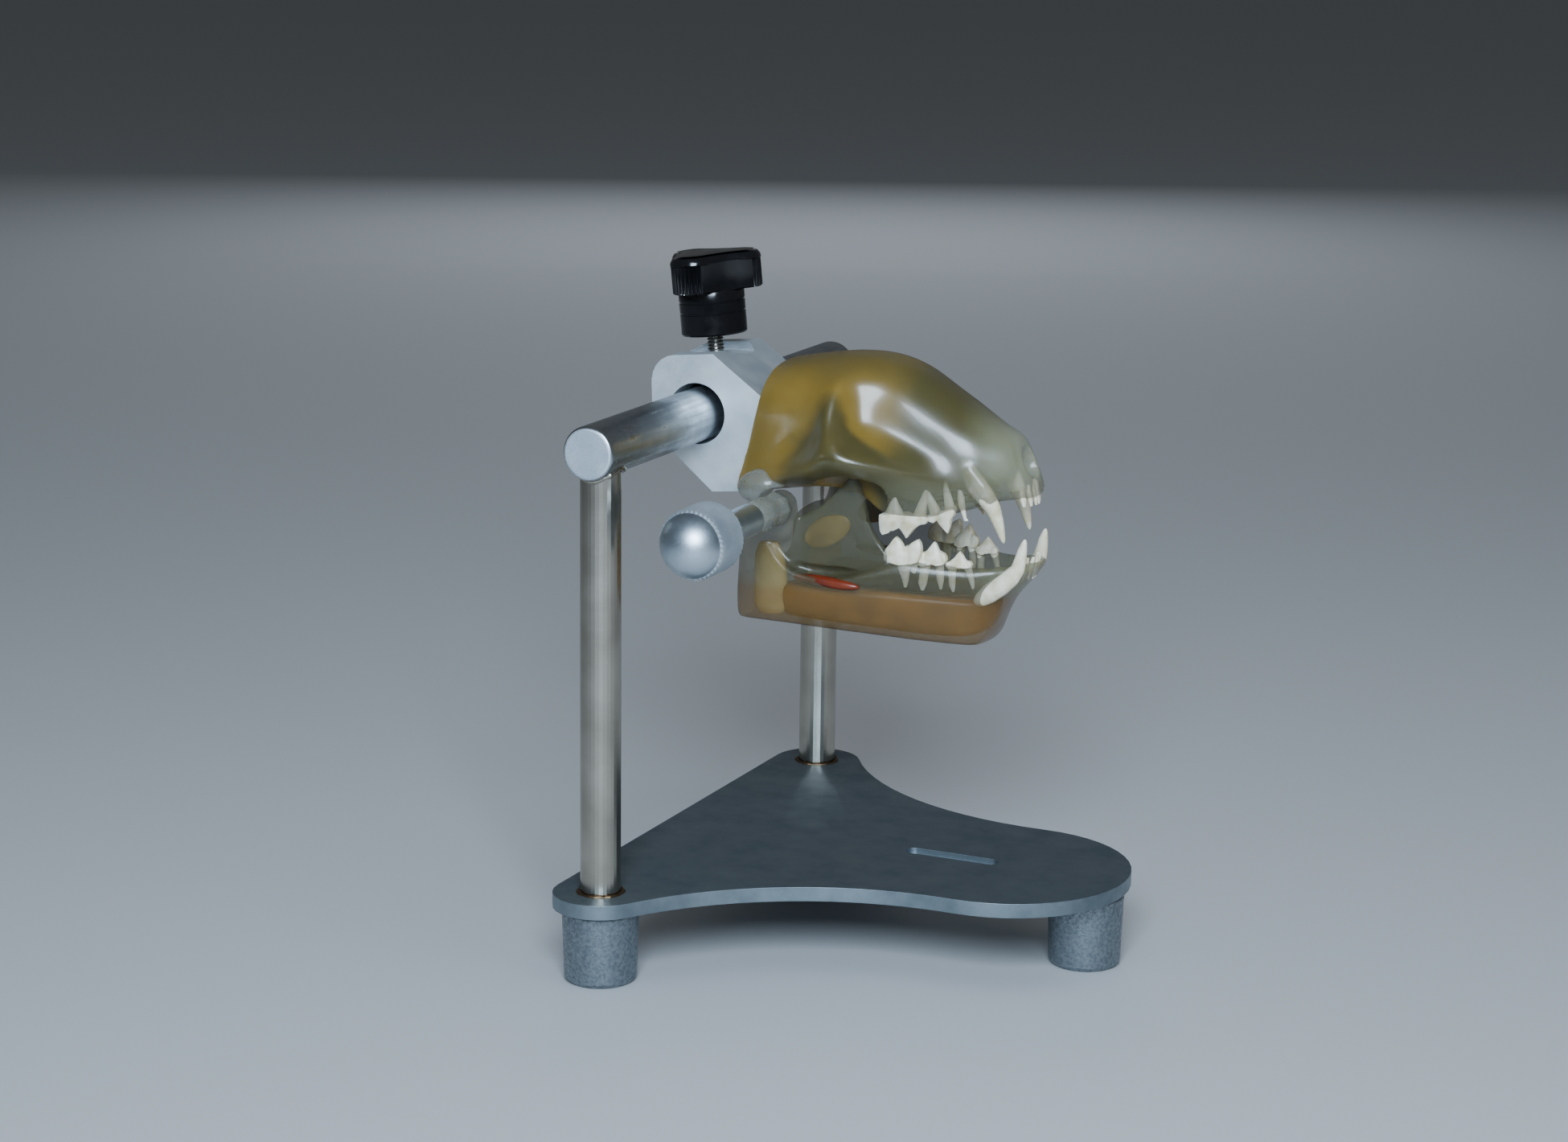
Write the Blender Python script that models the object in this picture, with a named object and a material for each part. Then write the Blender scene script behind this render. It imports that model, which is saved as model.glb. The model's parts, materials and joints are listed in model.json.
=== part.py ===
# A cat's skull as a clear resin dental teaching model on an aluminium bench stand.
# Metres, +Z up. +X is forward, towards the nose, and +Y is the skull's left side.
# Sizes are laid out from a point midway between the two posts and BENCH_TOP under the bench.
# The last lines move everything so that the origin is on the bench, under the middle of the
# model's box.
import math

import bmesh
import bpy
from mathutils import Matrix, Vector

MM = 0.001
GAP = 0.3 * MM

# The middle of the model's box, ahead of the posts, and the bench that the feet stand on
BOX_MIDDLE_X = 46.53 * MM
BENCH_TOP = 5.15 * MM

# Stand
POST_SPACING = 123.96 * MM
POST_RADIUS = 4.7625 * MM
BAR_RADIUS = 6.35 * MM
BAR_HEIGHT = 131.6 * MM
BAR_OVERHANG = 6.73 * MM
PLATE_TOP = 26.63 * MM
PLATE_THICKNESS = 3.48 * MM
LOBE_RADIUS = 11.28 * MM
NOSE_LOBE_RADIUS = 30.5 * MM
NOSE_LOBE_X = 77.06 * MM
WAIST_RADIUS = 73.9 * MM
FOOT_RADIUS = 8.6 * MM
FOOT_FLARE = 0.028
FRONT_FOOT_X = 98.05 * MM
SLOT_BACK = 51.5 * MM
SLOT_FRONT = 75.5 * MM
SLOT_WIDTH = 4.4 * MM
SLOT_DEPTH = 1.4 * MM

# Clamp on the bar, pitched with the skull
CLAMP_PITCH = math.radians(6.0)
CLAMP_HALF_WIDTH = 13.6 * MM
BORE_RADIUS = 7.4 * MM
BORE_SHIFT = Vector((0.55, 0.0, 0.5)) * MM
SCREW_RADIUS = 1.9 * MM
KNOB_LOBE_RADIUS = 5.6 * MM
KNOB_LOBE_OFFSET = 7.1 * MM
KNOB_LOBE_TURN = math.radians(24.5)
KNOB_HUB_RADIUS = 8.0 * MM
KNOB_RIBS = 7
KNOB_HUB_BOTTOM = 17.4 * MM
KNOB_HEAD_BOTTOM = 28.2 * MM
KNOB_HEAD_TOP = 37.4 * MM

# Jaw hinge
HINGE_X = 25.3 * MM
HINGE_Z = 112.9 * MM
CONDYLE_RADIUS = 4.0 * MM
CONDYLE_INNER = 17.0 * MM
CONDYLE_OUTER = 35.6 * MM
SOCKET_ROOM = 0.5 * MM
JAW_KNOB_RADIUS = 7.95 * MM
JAW_KNOB_BACK = 55.4 * MM
JAW_KNOB_EQUATOR = 64.2 * MM
JAW_KNOB_NECK_RADIUS = 3.8 * MM

# Skull
SKULL_BACK_LEAN = math.radians(12.1)
JAW_PITCH = math.radians(3.9)
UPPER_VOXEL = 0.9 * MM
JAW_VOXEL = 0.9 * MM
UPPER_TRIANGLES = 3600
JAW_TRIANGLES = 2700

for old in list(bpy.data.objects):
    bpy.data.objects.remove(old, do_unlink=True)


def mm(*values):
    return Vector(values) * MM


# Materials


def material(name, colour, roughness, metallic=0.0, alpha=1.0):
    made = bpy.data.materials.new(name)
    made.use_nodes = True
    shader = made.node_tree.nodes["Principled BSDF"]
    shader.inputs["Base Color"].default_value = (*colour, 1.0)
    shader.inputs["Roughness"].default_value = roughness
    shader.inputs["Metallic"].default_value = metallic
    shader.inputs["Alpha"].default_value = alpha
    return made


DULL_ALUMINIUM = material("dull_aluminium", (0.33, 0.35, 0.36), 0.5, 1.0)
WORN_ALUMINIUM = material("worn_aluminium", (0.48, 0.48, 0.47), 0.4, 1.0)
SATIN_ALUMINIUM = material("satin_aluminium", (0.72, 0.75, 0.78), 0.35, 1.0)
BRUSHED_STEEL = material("brushed_steel", (0.55, 0.53, 0.5), 0.32, 1.0)
CAST_ALUMINIUM = material("cast_aluminium", (0.4, 0.41, 0.42), 0.6, 1.0)
BLACK_PLASTIC = material("black_plastic", (0.02, 0.02, 0.022), 0.35)
AMBER_RESIN = material("amber_resin", (0.52, 0.43, 0.25), 0.35)
CLEAR_RESIN = material("clear_resin", (0.55, 0.5, 0.38), 0.35)


# Building helpers


def mesh_object(name, mesh, surface=None):
    made = bpy.data.objects.new(name, mesh)
    bpy.context.scene.collection.objects.link(made)
    if surface:
        mesh.materials.append(surface)
    return made


def from_bmesh(name, shape, surface=None):
    bmesh.ops.recalc_face_normals(shape, faces=shape.faces)
    mesh = bpy.data.meshes.new(name)
    shape.to_mesh(mesh)
    shape.free()
    return mesh_object(name, mesh, surface)


# Skins a list of equal point rings and closes both ends.
def skin(name, rings, surface=None):
    shape = bmesh.new()
    loops = [[shape.verts.new(point) for point in ring] for ring in rings]
    count = len(loops[0])
    for first, second in zip(loops, loops[1:]):
        for i in range(count):
            j = (i + 1) % count
            shape.faces.new((first[i], first[j], second[j], second[i]))
    shape.faces.new(loops[0])
    shape.faces.new(loops[-1])
    return from_bmesh(name, shape, surface)


# Turns (radius, height) points round an axis that starts at a point.
def turned(name, profile, start, axis, sides, surface=None):
    side, other = square_axes(axis)
    rings = []
    for radius, height in profile:
        centre = start + axis * height
        rings.append([centre + side * (radius * math.cos(a)) + other * (radius * math.sin(a))
                      for a in angles(sides)])
    return skin(name, rings, surface)


def angles(count):
    return [math.tau * i / count for i in range(count)]


def square_axes(axis):
    helper = Vector((0, 1, 0)) if abs(axis.y) < 0.9 else Vector((1, 0, 0))
    side = axis.cross(helper).normalized()
    return side, axis.cross(side).normalized()


# Raises a closed outline in the plane of u and v along w.
def prism(name, outline, origin, u, v, w, length, surface=None):
    rings = []
    for offset in (0.0, length):
        rings.append([origin + u * a + v * b + w * offset for a, b in outline])
    return skin(name, rings, surface)


def arc(centre_x, centre_y, radius, start, end, steps):
    points = []
    for i in range(steps + 1):
        a = math.radians(start + (end - start) * i / steps)
        points.append((centre_x + radius * math.cos(a), centre_y + radius * math.sin(a)))
    return points


def ball(name, centre, sizes, turn=0.0, segments=24):
    shape = bmesh.new()
    bmesh.ops.create_uvsphere(shape, u_segments=segments, v_segments=segments // 2, radius=1.0)
    place = Matrix.Translation(centre) @ Matrix.Rotation(turn, 4, "Y") @ Matrix.Diagonal((*sizes, 1.0))
    bmesh.ops.transform(shape, matrix=place, verts=shape.verts)
    return from_bmesh(name, shape)


# A round-ended limb through points, each with its own pair of radii.
def limb(name, points, widths, heights, sides=14):
    rings = []
    last = len(points) - 1
    for i, point in enumerate(points):
        ahead = (points[min(i + 1, last)] - points[max(i - 1, 0)]).normalized()
        up = Vector((0, 0, 1)) - ahead * ahead.z
        up.normalize()
        across = ahead.cross(up)
        rings.append([point + across * (widths[i] * math.cos(a)) + up * (heights[i] * math.sin(a))
                      for a in angles(sides)])
    return skin(name, rings)


def apply_modifiers(target):
    graph = bpy.context.evaluated_depsgraph_get()
    graph.update()
    made = bpy.data.meshes.new_from_object(target.evaluated_get(graph))
    target.modifiers.clear()
    old = target.data
    target.data = made
    bpy.data.meshes.remove(old)


def remove(pieces):
    for piece in pieces:
        bpy.data.objects.remove(piece, do_unlink=True)


def boolean(target, pieces, operation, solver="EXACT"):
    group = bpy.data.collections.new("pieces")
    bpy.context.scene.collection.children.link(group)
    for piece in pieces:
        group.objects.link(piece)
    step = target.modifiers.new("boolean", "BOOLEAN")
    step.operation = operation
    step.operand_type = "COLLECTION"
    step.collection = group
    step.solver = solver
    apply_modifiers(target)
    remove(pieces)
    bpy.data.collections.remove(group)


# Melts overlapping pieces into one smooth casting.
def cast(target, pieces, voxel, smoothing):
    shape = bmesh.new()
    shape.from_mesh(target.data)
    for piece in pieces:
        shape.from_mesh(piece.data)
    shape.to_mesh(target.data)
    shape.free()
    remove(pieces)
    melt = target.modifiers.new("melt", "REMESH")
    melt.mode = "VOXEL"
    melt.voxel_size = voxel
    soften = target.modifiers.new("soften", "SMOOTH")
    soften.factor = 0.5
    soften.iterations = smoothing
    apply_modifiers(target)


def thin_out(target, triangles):
    target.data.calc_loop_triangles()
    now = len(target.data.loop_triangles)
    if now > triangles:
        thin = target.modifiers.new("thin", "DECIMATE")
        thin.ratio = triangles / now
        apply_modifiers(target)


# Drops loose scraps and fills a sealed hollow: only the largest surface stays.
def keep_largest(target):
    shape = bmesh.new()
    shape.from_mesh(target.data)
    bmesh.ops.remove_doubles(shape, verts=shape.verts, dist=0.00001)
    left = set(shape.verts)
    islands = []
    while left:
        island = {left.pop()}
        front = list(island)
        while front:
            for edge in front.pop().link_edges:
                for vert in edge.verts:
                    if vert in left:
                        left.discard(vert)
                        island.add(vert)
                        front.append(vert)
        islands.append(island)
    biggest = max(islands, key=lambda island: max(v.co.x for v in island) - min(v.co.x for v in island))
    bmesh.ops.delete(shape, geom=[v for v in shape.verts if v not in biggest], context="VERTS")
    bmesh.ops.triangulate(shape, faces=shape.faces)
    shape.to_mesh(target.data)
    shape.free()


def smooth_shading(target, degrees):
    target.data.shade_smooth()
    target.data.set_sharp_from_angle(angle=math.radians(degrees))


def plate_outline():
    lobe_y = POST_SPACING / 2
    reach_lobe = WAIST_RADIUS + LOBE_RADIUS
    reach_nose = WAIST_RADIUS + NOSE_LOBE_RADIUS
    span = math.hypot(NOSE_LOBE_X, lobe_y)
    along = (reach_lobe ** 2 - reach_nose ** 2 + span ** 2) / (2 * span)
    out = math.sqrt(reach_lobe ** 2 - along ** 2)
    ahead = Vector((NOSE_LOBE_X, -lobe_y)) / span
    waist = Vector((0.0, lobe_y)) + ahead * along + Vector((-ahead.y, ahead.x)) * out
    to_lobe = math.degrees(math.atan2(lobe_y - waist.y, -waist.x))
    to_nose = math.degrees(math.atan2(-waist.y, NOSE_LOBE_X - waist.x))
    half = arc(NOSE_LOBE_X, 0.0, NOSE_LOBE_RADIUS, 0.0, to_nose + 180.0, 12)
    half += arc(waist.x, waist.y, WAIST_RADIUS, to_nose, to_lobe, 14)[1:]
    half += arc(0.0, lobe_y, LOBE_RADIUS, to_lobe + 180.0, 180.0, 12)[1:]
    return half + [(x, -y) for x, y in reversed(half[1:])]


def slot_outline():
    radius = SLOT_WIDTH / 2
    front = arc(SLOT_FRONT - radius, 0.0, radius, -90.0, 90.0, 6)
    back = arc(SLOT_BACK + radius, 0.0, radius, 90.0, 270.0, 6)
    return front + back


X_AXIS = Vector((1, 0, 0))
Y_AXIS = Vector((0, 1, 0))
Z_AXIS = Vector((0, 0, 1))

plate = prism("base_plate", plate_outline(), Vector((0, 0, PLATE_TOP - PLATE_THICKNESS)),
              X_AXIS, Y_AXIS, Z_AXIS, PLATE_THICKNESS, DULL_ALUMINIUM)
slot = prism("slot", slot_outline(), Vector((0, 0, PLATE_TOP - SLOT_DEPTH)),
             X_AXIS, Y_AXIS, Z_AXIS, SLOT_DEPTH * 2)
boolean(plate, [slot], "DIFFERENCE")
smooth_shading(plate, 30)


# Feet, posts and crossbar


def foot(name, x, y):
    top = PLATE_TOP - PLATE_THICKNESS - GAP - BENCH_TOP
    edge = 1.2 * MM
    profile = [(FOOT_RADIUS - edge, 0.0), (FOOT_RADIUS - edge * 0.3, edge * 0.3),
               (FOOT_RADIUS, edge), (FOOT_RADIUS + FOOT_FLARE * top, top)]
    made = turned(name, profile, Vector((x, y, BENCH_TOP)), Z_AXIS, 32, CAST_ALUMINIUM)
    smooth_shading(made, 40)


foot("foot_left", 0.0, POST_SPACING / 2)
foot("foot_right", 0.0, -POST_SPACING / 2)
foot("foot_front", FRONT_FOOT_X, 0.0)


def bar_cutter(radius):
    reach = POST_SPACING
    return turned("bar_cutter", [(radius, 0.0), (radius, reach * 2)],
                  Vector((0, -reach, BAR_HEIGHT)), Y_AXIS, 48)


def post(name, y):
    made = turned(name, [(POST_RADIUS, 0.0), (POST_RADIUS, BAR_HEIGHT - PLATE_TOP - GAP)],
                  Vector((0, y, PLATE_TOP + GAP)), Z_AXIS, 32, BRUSHED_STEEL)
    boolean(made, [bar_cutter(BAR_RADIUS + GAP)], "DIFFERENCE")
    keep_largest(made)
    smooth_shading(made, 40)


post("post_left", POST_SPACING / 2)
post("post_right", -POST_SPACING / 2)

BAR_EDGE = 0.6 * MM
bar_half = POST_SPACING / 2 + BAR_OVERHANG
bar = turned("crossbar", [(BAR_RADIUS - BAR_EDGE, 0.0), (BAR_RADIUS, BAR_EDGE),
                          (BAR_RADIUS, bar_half * 2 - BAR_EDGE), (BAR_RADIUS - BAR_EDGE, bar_half * 2)],
             Vector((0, -bar_half, BAR_HEIGHT)), Y_AXIS, 48, WORN_ALUMINIUM)
smooth_shading(bar, 30)


# Clamp: a block bored for the bar, and a knob with its screw

bore_centre = Vector((0, 0, BAR_HEIGHT)) + BORE_SHIFT
clamp_up = Vector((-math.sin(CLAMP_PITCH), 0, math.cos(CLAMP_PITCH)))
clamp_forward = Vector((math.cos(CLAMP_PITCH), 0, math.sin(CLAMP_PITCH)))

# The skull's flat back meets the block's front face, which leans back more than the clamp.
BACK_FOOT_X = 12.4 * MM
BACK_FOOT_Z = 114.3 * MM
back_foot = Vector((BACK_FOOT_X, 0, BACK_FOOT_Z))
back_up = Vector((math.sin(SKULL_BACK_LEAN), 0, math.cos(SKULL_BACK_LEAN)))
back_out = Vector((math.cos(SKULL_BACK_LEAN), 0, -math.sin(SKULL_BACK_LEAN)))


def block_outline():
    face_top = back_foot + back_up * (23.9 * MM)
    bar_x, bar_z = 0.0, BAR_HEIGHT
    corner = 6.5 * MM
    points = [(back_foot.x, back_foot.z), (face_top.x, face_top.z),
              (bar_x + 4.7 * MM, bar_z + 15.2 * MM)]
    points += arc(bar_x - 5.0 * MM, bar_z + 14.2 * MM - corner, corner, 92.0, 180.0, 5)
    points += [(bar_x - 11.1 * MM, bar_z - 4.9 * MM), (bar_x + 4.9 * MM, bar_z - 18.1 * MM)]
    return points


block = prism("clamp_block", block_outline(), Vector((0, -CLAMP_HALF_WIDTH, 0)),
              X_AXIS, Z_AXIS, Y_AXIS, CLAMP_HALF_WIDTH * 2, SATIN_ALUMINIUM)
bore = turned("bore", [(BORE_RADIUS, 0.0), (BORE_RADIUS, CLAMP_HALF_WIDTH * 4)],
              bore_centre - Y_AXIS * (CLAMP_HALF_WIDTH * 2), Y_AXIS, 48)
SCREW_HOLE = SCREW_RADIUS + 0.4 * MM
screw_hole = turned("screw_hole", [(SCREW_HOLE, 0.0), (SCREW_HOLE, 30.0 * MM)],
                    bore_centre, clamp_up, 24)
boolean(block, [bore, screw_hole], "DIFFERENCE")
smooth_shading(block, 30)


# The knob's head is a rounded triangle: three lobes with fine ribs, and plain flanks between them.
def lobe_ring(height, inset, ribbed):
    side, other = square_axes(clamp_up)
    ring = []
    steps = KNOB_RIBS * 2
    for lobe in range(3):
        middle = KNOB_LOBE_TURN + math.tau * lobe / 3
        for i in range(steps + 1):
            a = middle + math.tau / 3 * (i / steps - 0.5)
            reach = KNOB_LOBE_RADIUS - inset - (0.4 * MM if ribbed and i % 2 else 0.0)
            out = KNOB_LOBE_OFFSET * math.cos(middle) + reach * math.cos(a)
            along = KNOB_LOBE_OFFSET * math.sin(middle) + reach * math.sin(a)
            ring.append(bore_centre + clamp_up * height - side * out - other * along)
    return ring


def round_ring(height, radius):
    side, other = square_axes(clamp_up)
    count = 3 * (KNOB_RIBS * 2 + 1)
    start = KNOB_LOBE_TURN - math.tau / 6
    return [bore_centre + clamp_up * height - side * (radius * math.cos(start + a))
            - other * (radius * math.sin(start + a)) for a in angles(count)]


# The screw's tip stands just clear of the bar.
def clamp_knob():
    tip = BAR_RADIUS + GAP
    bevel = 1.4 * MM
    hub_edge = 0.5 * MM
    rings = [round_ring(tip, SCREW_RADIUS * 0.8), round_ring(tip + hub_edge, SCREW_RADIUS),
             round_ring(KNOB_HUB_BOTTOM, SCREW_RADIUS),
             round_ring(KNOB_HUB_BOTTOM, KNOB_HUB_RADIUS - hub_edge),
             round_ring(KNOB_HUB_BOTTOM + hub_edge, KNOB_HUB_RADIUS),
             round_ring(KNOB_HEAD_BOTTOM, KNOB_HUB_RADIUS * 0.98),
             lobe_ring(KNOB_HEAD_BOTTOM, 0.0, True), lobe_ring(KNOB_HEAD_TOP - bevel, 0.0, True),
             lobe_ring(KNOB_HEAD_TOP, bevel, False)]
    made = skin("clamp_knob", rings, BLACK_PLASTIC)
    smooth_shading(made, 25)


clamp_knob()


# Teeth, made from cusps: each is a tapering peg whose root is sunk in the jaw


def cusp(name, gum, tip, length, width, lean=0.0, sides=8):
    axis = tip - gum
    root = gum - axis.normalized() * (1.9 * MM)
    belly = gum.lerp(tip, 0.45) + X_AXIS * lean
    point = gum.lerp(tip, 0.93) + X_AXIS * (lean * 0.25)
    rings = []
    for centre, swell in ((root, 0.92), (gum, 1.0), (belly, 0.8), (point, 0.3), (tip, 0.1)):
        rings.append([centre + X_AXIS * (length / 2 * swell * math.cos(a))
                      + Y_AXIS * (width / 2 * swell * math.sin(a)) for a in angles(sides)])
    return skin(name, rings)


# Every tooth row is given for the skull's left side and repeated on its right.
# A row holds: gum place, tip place, length along the jaw, width across it, forward lean.
def tooth_row(row):
    pieces = []
    for side in (1, -1):
        for i, (gum, tip, length, width, lean) in enumerate(row):
            here = Vector((gum[0], gum[1] * side, gum[2])) * MM
            end = Vector((tip[0], tip[1] * side, tip[2])) * MM
            pieces.append(cusp(f"cusp_{side}_{i}", here, end, length * MM, width * MM, lean * MM))
    return pieces


UPPER_CANINE = [((75.0, 9.1, 116.4), (77.8, 8.5, 107.4), 4.4, 3.6, 0.35)]
UPPER_CARNASSIAL = [
    ((51.2, 15.2, 112.2), (50.4, 15.5, 108.4), 3.6, 2.6, 0.0),
    ((54.9, 14.4, 112.2), (55.9, 14.4, 107.4), 6.6, 3.2, 0.0),
    ((58.7, 13.4, 112.2), (59.4, 13.2, 110.2), 2.8, 2.6, 0.0)]
UPPER_PREMOLARS = [
    ((63.3, 11.7, 113.4), (64.2, 11.6, 108.8), 5.2, 2.6, 0.0),
    ((68.3, 10.3, 115.6), (69.2, 10.3, 112.2), 1.9, 1.6, 0.0)]
LOWER_CANINE = [((80.9, 7.4, 101.0), (82.4, 6.9, 108.1), 3.6, 3.0, 0.1)]
LOWER_MOLAR = [
    ((52.9, 13.8, 101.9), (52.9, 13.9, 107.2), 4.7, 2.6, 0.0),
    ((56.6, 12.9, 101.6), (57.8, 12.8, 106.8), 4.3, 2.6, 0.0)]
LOWER_PREMOLARS = [
    ((61.2, 11.0, 101.0), (61.7, 11.1, 106.1), 6.4, 2.5, 0.0),
    ((67.0, 9.0, 100.7), (67.1, 9.0, 104.5), 5.3, 2.2, 0.0)]


# Incisors stand across the front of each jaw, the outer ones larger.
def incisors(front, gum_height, tip_height, pitch):
    row = []
    for i in range(3):
        y = pitch * (i + 0.5)
        back = 0.16 * y * y / pitch
        size = 1.25 + 0.3 * i
        row.append(((front - back, y, gum_height), (front - back + 0.5, y, tip_height), size, size * 1.05, 0.0))
    return row


# Upper skull: rings from the flat back to the nose, then arches, tooth bearing ridges and fossae


def oval_ring(x, top, bottom, half_width, squareness, widest=0.5, count=28):
    middle = bottom + (top - bottom) * widest
    ring = []
    for a in angles(count):
        c, s = math.cos(a), math.sin(a)
        y = half_width * math.copysign(abs(c) ** (2 / squareness), c)
        reach = (top - middle) if s > 0 else (middle - bottom)
        z = middle + reach * math.copysign(abs(s) ** (2 / squareness), s)
        ring.append(mm(x, y, z))
    return ring


def upper_rings():
    return [
        oval_ring(8.0, 142.5, 113.4, 13.6, 4.0),
        oval_ring(18.0, 144.9, 113.8, 16.0, 3.4),
        oval_ring(26.0, 146.6, 115.2, 20.5, 2.6),
        oval_ring(34.0, 148.0, 116.4, 20.0, 2.5),
        oval_ring(42.0, 148.7, 114.6, 15.5, 2.7, 0.55),
        oval_ring(50.0, 147.3, 112.8, 13.5, 3.0, 0.6),
        oval_ring(56.0, 144.4, 112.4, 13.8, 2.8, 0.45),
        oval_ring(62.0, 140.8, 113.2, 13.2, 2.6, 0.3),
        oval_ring(68.0, 136.8, 115.0, 11.5, 2.4, 0.3),
        oval_ring(74.0, 133.1, 116.4, 10.2, 2.4, 0.35),
        oval_ring(77.6, 132.3, 117.2, 8.4, 2.3, 0.3),
        oval_ring(79.0, 130.8, 117.6, 7.2, 2.2, 0.3)]


def cheek(side):
    pieces = []
    # The thick rear wall that carries the arch
    wall = [oval_ring(x, top, bottom, reach, 2.6) for x, top, bottom, reach in (
        (14.0, 141.0, 114.6, 14.4), (22.0, 143.0, 116.6, 20.5),
        (31.0, 144.0, 120.0, 26.5), (38.5, 144.0, 123.0, 29.0))]
    pieces.append(skin("wall", wall))
    arch_points = [mm(28, side * 26.0, 122.6), mm(36, side * 28.8, 125.0), mm(44, side * 28.2, 126.4),
                   mm(51, side * 24.5, 124.6), mm(58, side * 18.5, 121.0), mm(63, side * 12.5, 118.6)]
    pieces.append(limb("arch", arch_points, [2.6 * MM] * 6,
                       [h * MM for h in (4.4, 3.4, 2.6, 2.6, 3.6, 4.0)]))
    # The glenoid lump over the hinge
    pieces.append(ball("glenoid", mm(23.6, side * 22.5, 118.8), mm(5.9, 8.0, 4.0)))
    # The ridges that carry the cheek teeth and the canine's root
    ridge = [mm(47.5, side * 14.0, 114.5), mm(55, side * 13.6, 114.3), mm(62, side * 11.6, 115.2),
             mm(70, side * 9.8, 117.4), mm(76, side * 8.4, 118.6)]
    pieces.append(limb("ridge", ridge, [r * MM for r in (2.2, 2.6, 2.4, 2.3, 2.2)],
                       [h * MM for h in (2.4, 2.8, 2.8, 2.6, 2.6)]))
    swell = [mm(66.5, side * 9.0, 128.5), mm(70, side * 10.0, 124.0), mm(75, side * 9.1, 117.6)]
    pieces.append(limb("canine_swell", swell, [w * MM for w in (1.6, 2.6, 2.5)],
                       [h * MM for h in (1.6, 2.4, 2.2)]))
    return pieces


upper = skin("upper_skull", upper_rings(), AMBER_RESIN)
pieces = cheek(1) + cheek(-1)
pieces.append(ball("premaxilla", mm(77.2, 0, 120.6), mm(6.4, 7.4, 5.0), math.radians(-14)))
cast(upper, pieces, UPPER_VOXEL, 2)


def upper_cutters():
    made = []
    for side in (1, -1):
        # The orbit and temple: a long scoop beside the braincase, and a way below it for the jaw's blade
        made.append(ball("orbit", mm(52.5, side * 25.5, 136.5), mm(15.5, 12.6, 10.4), math.radians(14)))
        made.append(ball("blade_way", mm(43.5, side * 19.2, 119.5), mm(8.5, 4.8, 9.0), math.radians(-12)))
        socket = turned("socket", [(CONDYLE_RADIUS + SOCKET_ROOM, 0.0), (CONDYLE_RADIUS + SOCKET_ROOM, 25.0 * MM)],
                        Vector((HINGE_X, side * (CONDYLE_INNER - 2.0 * MM), HINGE_Z)), Y_AXIS * side, 32)
        made.append(socket)
    made.append(ball("nose_opening", mm(82.5, 0, 126.2), mm(5.0, 4.3, 4.6)))
    made.append(ball("palate", mm(58.0, 0, 110.6), mm(17.0, 8.6, 4.0), math.radians(-7)))
    made.append(ball("throat", mm(33.0, 0, 110.0), mm(16.0, 12.0, 7.0)))
    return made


boolean(upper, upper_cutters(), "DIFFERENCE")
cast(upper, [], UPPER_VOXEL, 2)
thin_out(upper, UPPER_TRIANGLES)

# The flat back face, a gap clear of the block
BACK_CUT = 60.0 * MM
back_square = [(-BACK_CUT, -BACK_CUT), (BACK_CUT, -BACK_CUT), (BACK_CUT, BACK_CUT), (-BACK_CUT, BACK_CUT)]
back_cutter = prism("back_cutter", back_square, back_foot + back_out * GAP,
                    back_up, Y_AXIS, -back_out, BACK_CUT)
boolean(upper, [back_cutter], "DIFFERENCE")
keep_largest(upper)
upper_teeth = UPPER_CANINE + UPPER_CARNASSIAL + UPPER_PREMOLARS + incisors(83.0, 117.9, 115.5, 1.75)
boolean(upper, tooth_row(upper_teeth), "UNION")
keep_largest(upper)
smooth_shading(upper, 50)


# Lower jaw: a wedge-shaped block under the tooth rows, blades behind, and a hinge barrel each side


def jaw_drop(x):
    return -math.tan(JAW_PITCH) * (x - 45.0)


def jaw_ring(x, top, bottom, top_half, bottom_half, corner=2.0):
    top += jaw_drop(x)
    bottom += jaw_drop(x)
    ring = []
    for sy, sz in ((1, 1), (-1, 1), (-1, -1), (1, -1)):
        half = top_half if sz > 0 else bottom_half
        height = top if sz > 0 else bottom
        start = {(1, 1): 0, (-1, 1): 90, (-1, -1): 180, (1, -1): 270}[(sy, sz)]
        centre_y = sy * (half - corner)
        centre_z = height - sz * corner
        for y, z in arc(centre_y, centre_z, corner, start, start + 90, 3):
            ring.append(mm(x, y, z))
    return ring


def jaw_rings():
    return [
        jaw_ring(14.2, 100.8, 82.3, 16.5, 19.2, 1.2),
        jaw_ring(17.4, 104.0, 82.3, 19.2, 19.0, 1.2),
        jaw_ring(28.0, 102.4, 82.7, 20.3, 17.2, 1.2),
        jaw_ring(40.0, 101.8, 82.9, 18.0, 14.5, 1.2),
        jaw_ring(52.0, 102.2, 83.1, 15.9, 12.0, 1.2),
        jaw_ring(62.0, 102.2, 83.2, 12.9, 9.6, 1.2),
        jaw_ring(69.0, 102.3, 83.4, 10.9, 7.4, 1.2),
        jaw_ring(73.2, 102.5, 84.4, 10.0, 5.4, 1.6),
        jaw_ring(75.4, 102.8, 90.6, 9.6, 4.8, 2.0),
        jaw_ring(78.4, 103.2, 96.2, 9.0, 4.8, 2.2),
        jaw_ring(81.6, 103.5, 99.2, 8.2, 5.0, 1.9),
        jaw_ring(84.2, 103.4, 101.6, 6.0, 4.0, 0.9)]


def trough_rings():
    return [
        jaw_ring(5.0, 130.0, 92.0, 15.0, 13.0),
        jaw_ring(28.0, 130.0, 92.0, 15.6, 13.0),
        jaw_ring(52.0, 130.0, 92.0, 11.2, 9.2),
        jaw_ring(66.0, 130.0, 93.5, 6.9, 5.4),
        jaw_ring(74.0, 130.0, 96.5, 4.9, 3.6, 1.5),
        jaw_ring(78.0, 130.0, 99.8, 3.8, 2.6, 1.2)]


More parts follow.
